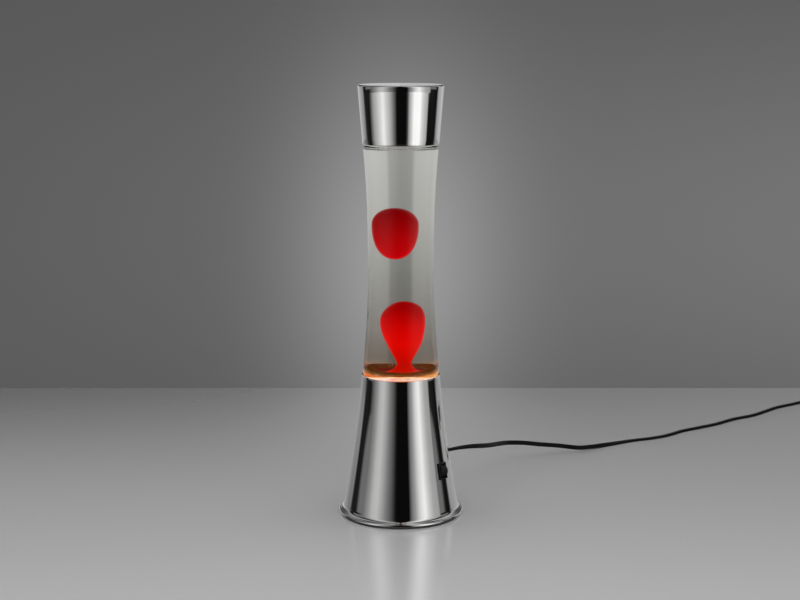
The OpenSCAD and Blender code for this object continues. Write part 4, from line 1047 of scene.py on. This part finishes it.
def buildWorld():
    world = bpy.data.worlds.new("studio")
    scene.world = world
    world.use_nodes = True
    tree = world.node_tree
    tree.nodes.clear()

    def number(operation, *values, **settings):  # a chain of Math nodes; values are numbers or sockets
        given = {i: v for i, v in enumerate(values) if not isinstance(v, bpy.types.NodeSocket)}
        linked = {i: v for i, v in enumerate(values) if isinstance(v, bpy.types.NodeSocket)}
        return addNode(tree, "ShaderNodeMath", {"operation": operation, **settings, **given}, linked).outputs[0]

    def smooth(value, low, high):
        return addNode(tree, "ShaderNodeMapRange", {1: low, 2: high, 3: 0.0, 4: 1.0,
                                                    "interpolation_type": "SMOOTHSTEP"}, {"Value": value}).outputs[0]

    def mixed(factor, first, second):
        node = addNode(tree, "ShaderNodeMix", {"data_type": "FLOAT"}, {0: factor, 2: first})
        if isinstance(second, float):
            node.inputs[3].default_value = second
        else:
            tree.links.new(second, node.inputs[3])
        return node.outputs[0]

    place = addNode(tree, "ShaderNodeTexCoord")
    way = place.outputs["Generated"]
    parts = addNode(tree, "ShaderNodeSeparateXYZ", {}, {"Vector": way})
    x, y, z = (parts.outputs[i] for i in range(3))
    azimuth = number("ARCTAN2", x, number("MULTIPLY", y, -1.0))
    at = number("MULTIPLY_ADD", azimuth, 0.5 / math.pi, 0.5)

    def bands(table):
        ramp = addNode(tree, "ShaderNodeValToRGB", {}, {"Fac": at})
        stops = ramp.color_ramp.elements
        for angle, level in table[1:-1]:
            stops.new((angle + 180) / 360).color = (level, level, level, 1)
        stops[0].color = (table[0][1],) * 3 + (1,)
        stops[-1].color = (table[-1][1],) * 3 + (1,)
        return ramp.outputs["Color"]

    # the cap leans out and the cone leans in, so they look lower and higher than the camera does
    lower = smooth(number("MULTIPLY", number("ADD", z, 0.15), number("ADD", y, -0.3)), -0.004, 0.008)
    # the side flags end above the table, which greys the foot of the cone
    beside = smooth(number("ABSOLUTE", x), 0.76, 0.86)
    under = number("MULTIPLY", number("MULTIPLY", smooth(z, -0.09, -0.066), beside), 0.19)
    ring = mixed(lower, number("MAXIMUM", bands(highBands), under), bands(lowBands))
    # a big overhead box, and the table's own tone from below
    path = addNode(tree, "ShaderNodeLightPath")
    above = number("MULTIPLY", smooth(z, 0.05, 0.14), smooth(y, 0.5, 0.8))   # the sweep darkens upwards
    dim = mixed(above, ring, 0.09)
    top = number("MULTIPLY", smooth(z, 0.4, 0.8), path.outputs["Is Diffuse Ray"])
    raised = addNode(tree, "ShaderNodeMix", {"data_type": "FLOAT", 3: 2.3}, {0: top, 2: dim})
    around = addNode(tree, "ShaderNodeMix", {"data_type": "FLOAT", 3: 0.05},
                     {0: smooth(number("MULTIPLY", z, -1.0), 0.35, 0.5), 2: raised.outputs[0]})
    # what the camera sees: a grey sweep with a soft pool of light behind the lamp
    rise = number("ADD", z, 0.148)
    tall = number("MULTIPLY", number("DIVIDE", rise, 0.118), number("DIVIDE", rise, 0.118))
    wide = number("MULTIPLY", number("DIVIDE", x, 0.063), number("DIVIDE", x, 0.063))
    pool = number("POWER", 1 / math.e, number("ADD", tall, wide))
    lift = number("ADD", z, 0.125)
    glow = number("POWER", 1 / math.e, number("MULTIPLY", number("DIVIDE", lift, 0.135), number("DIVIDE", lift, 0.135)))
    broad = number("MULTIPLY", glow, number("MULTIPLY_ADD", x, 0.12, 0.052))
    seen = number("MULTIPLY_ADD", pool, 0.19, number("ADD", broad, 0.092))
    through = mixed(path.outputs["Is Transmission Ray"], around.outputs[0], bands(sweepBands))
    final = mixed(path.outputs["Is Camera Ray"], through, seen)
    colour = addNode(tree, "ShaderNodeCombineColor", {}, {i: final for i in range(3)})
    light = addNode(tree, "ShaderNodeBackground", {"Strength": 1.0}, {"Color": colour.outputs["Color"]})
    output = addNode(tree, "ShaderNodeOutputWorld")
    tree.links.new(light.outputs[0], output.inputs["Surface"])


buildWorld()
print("studio lit")
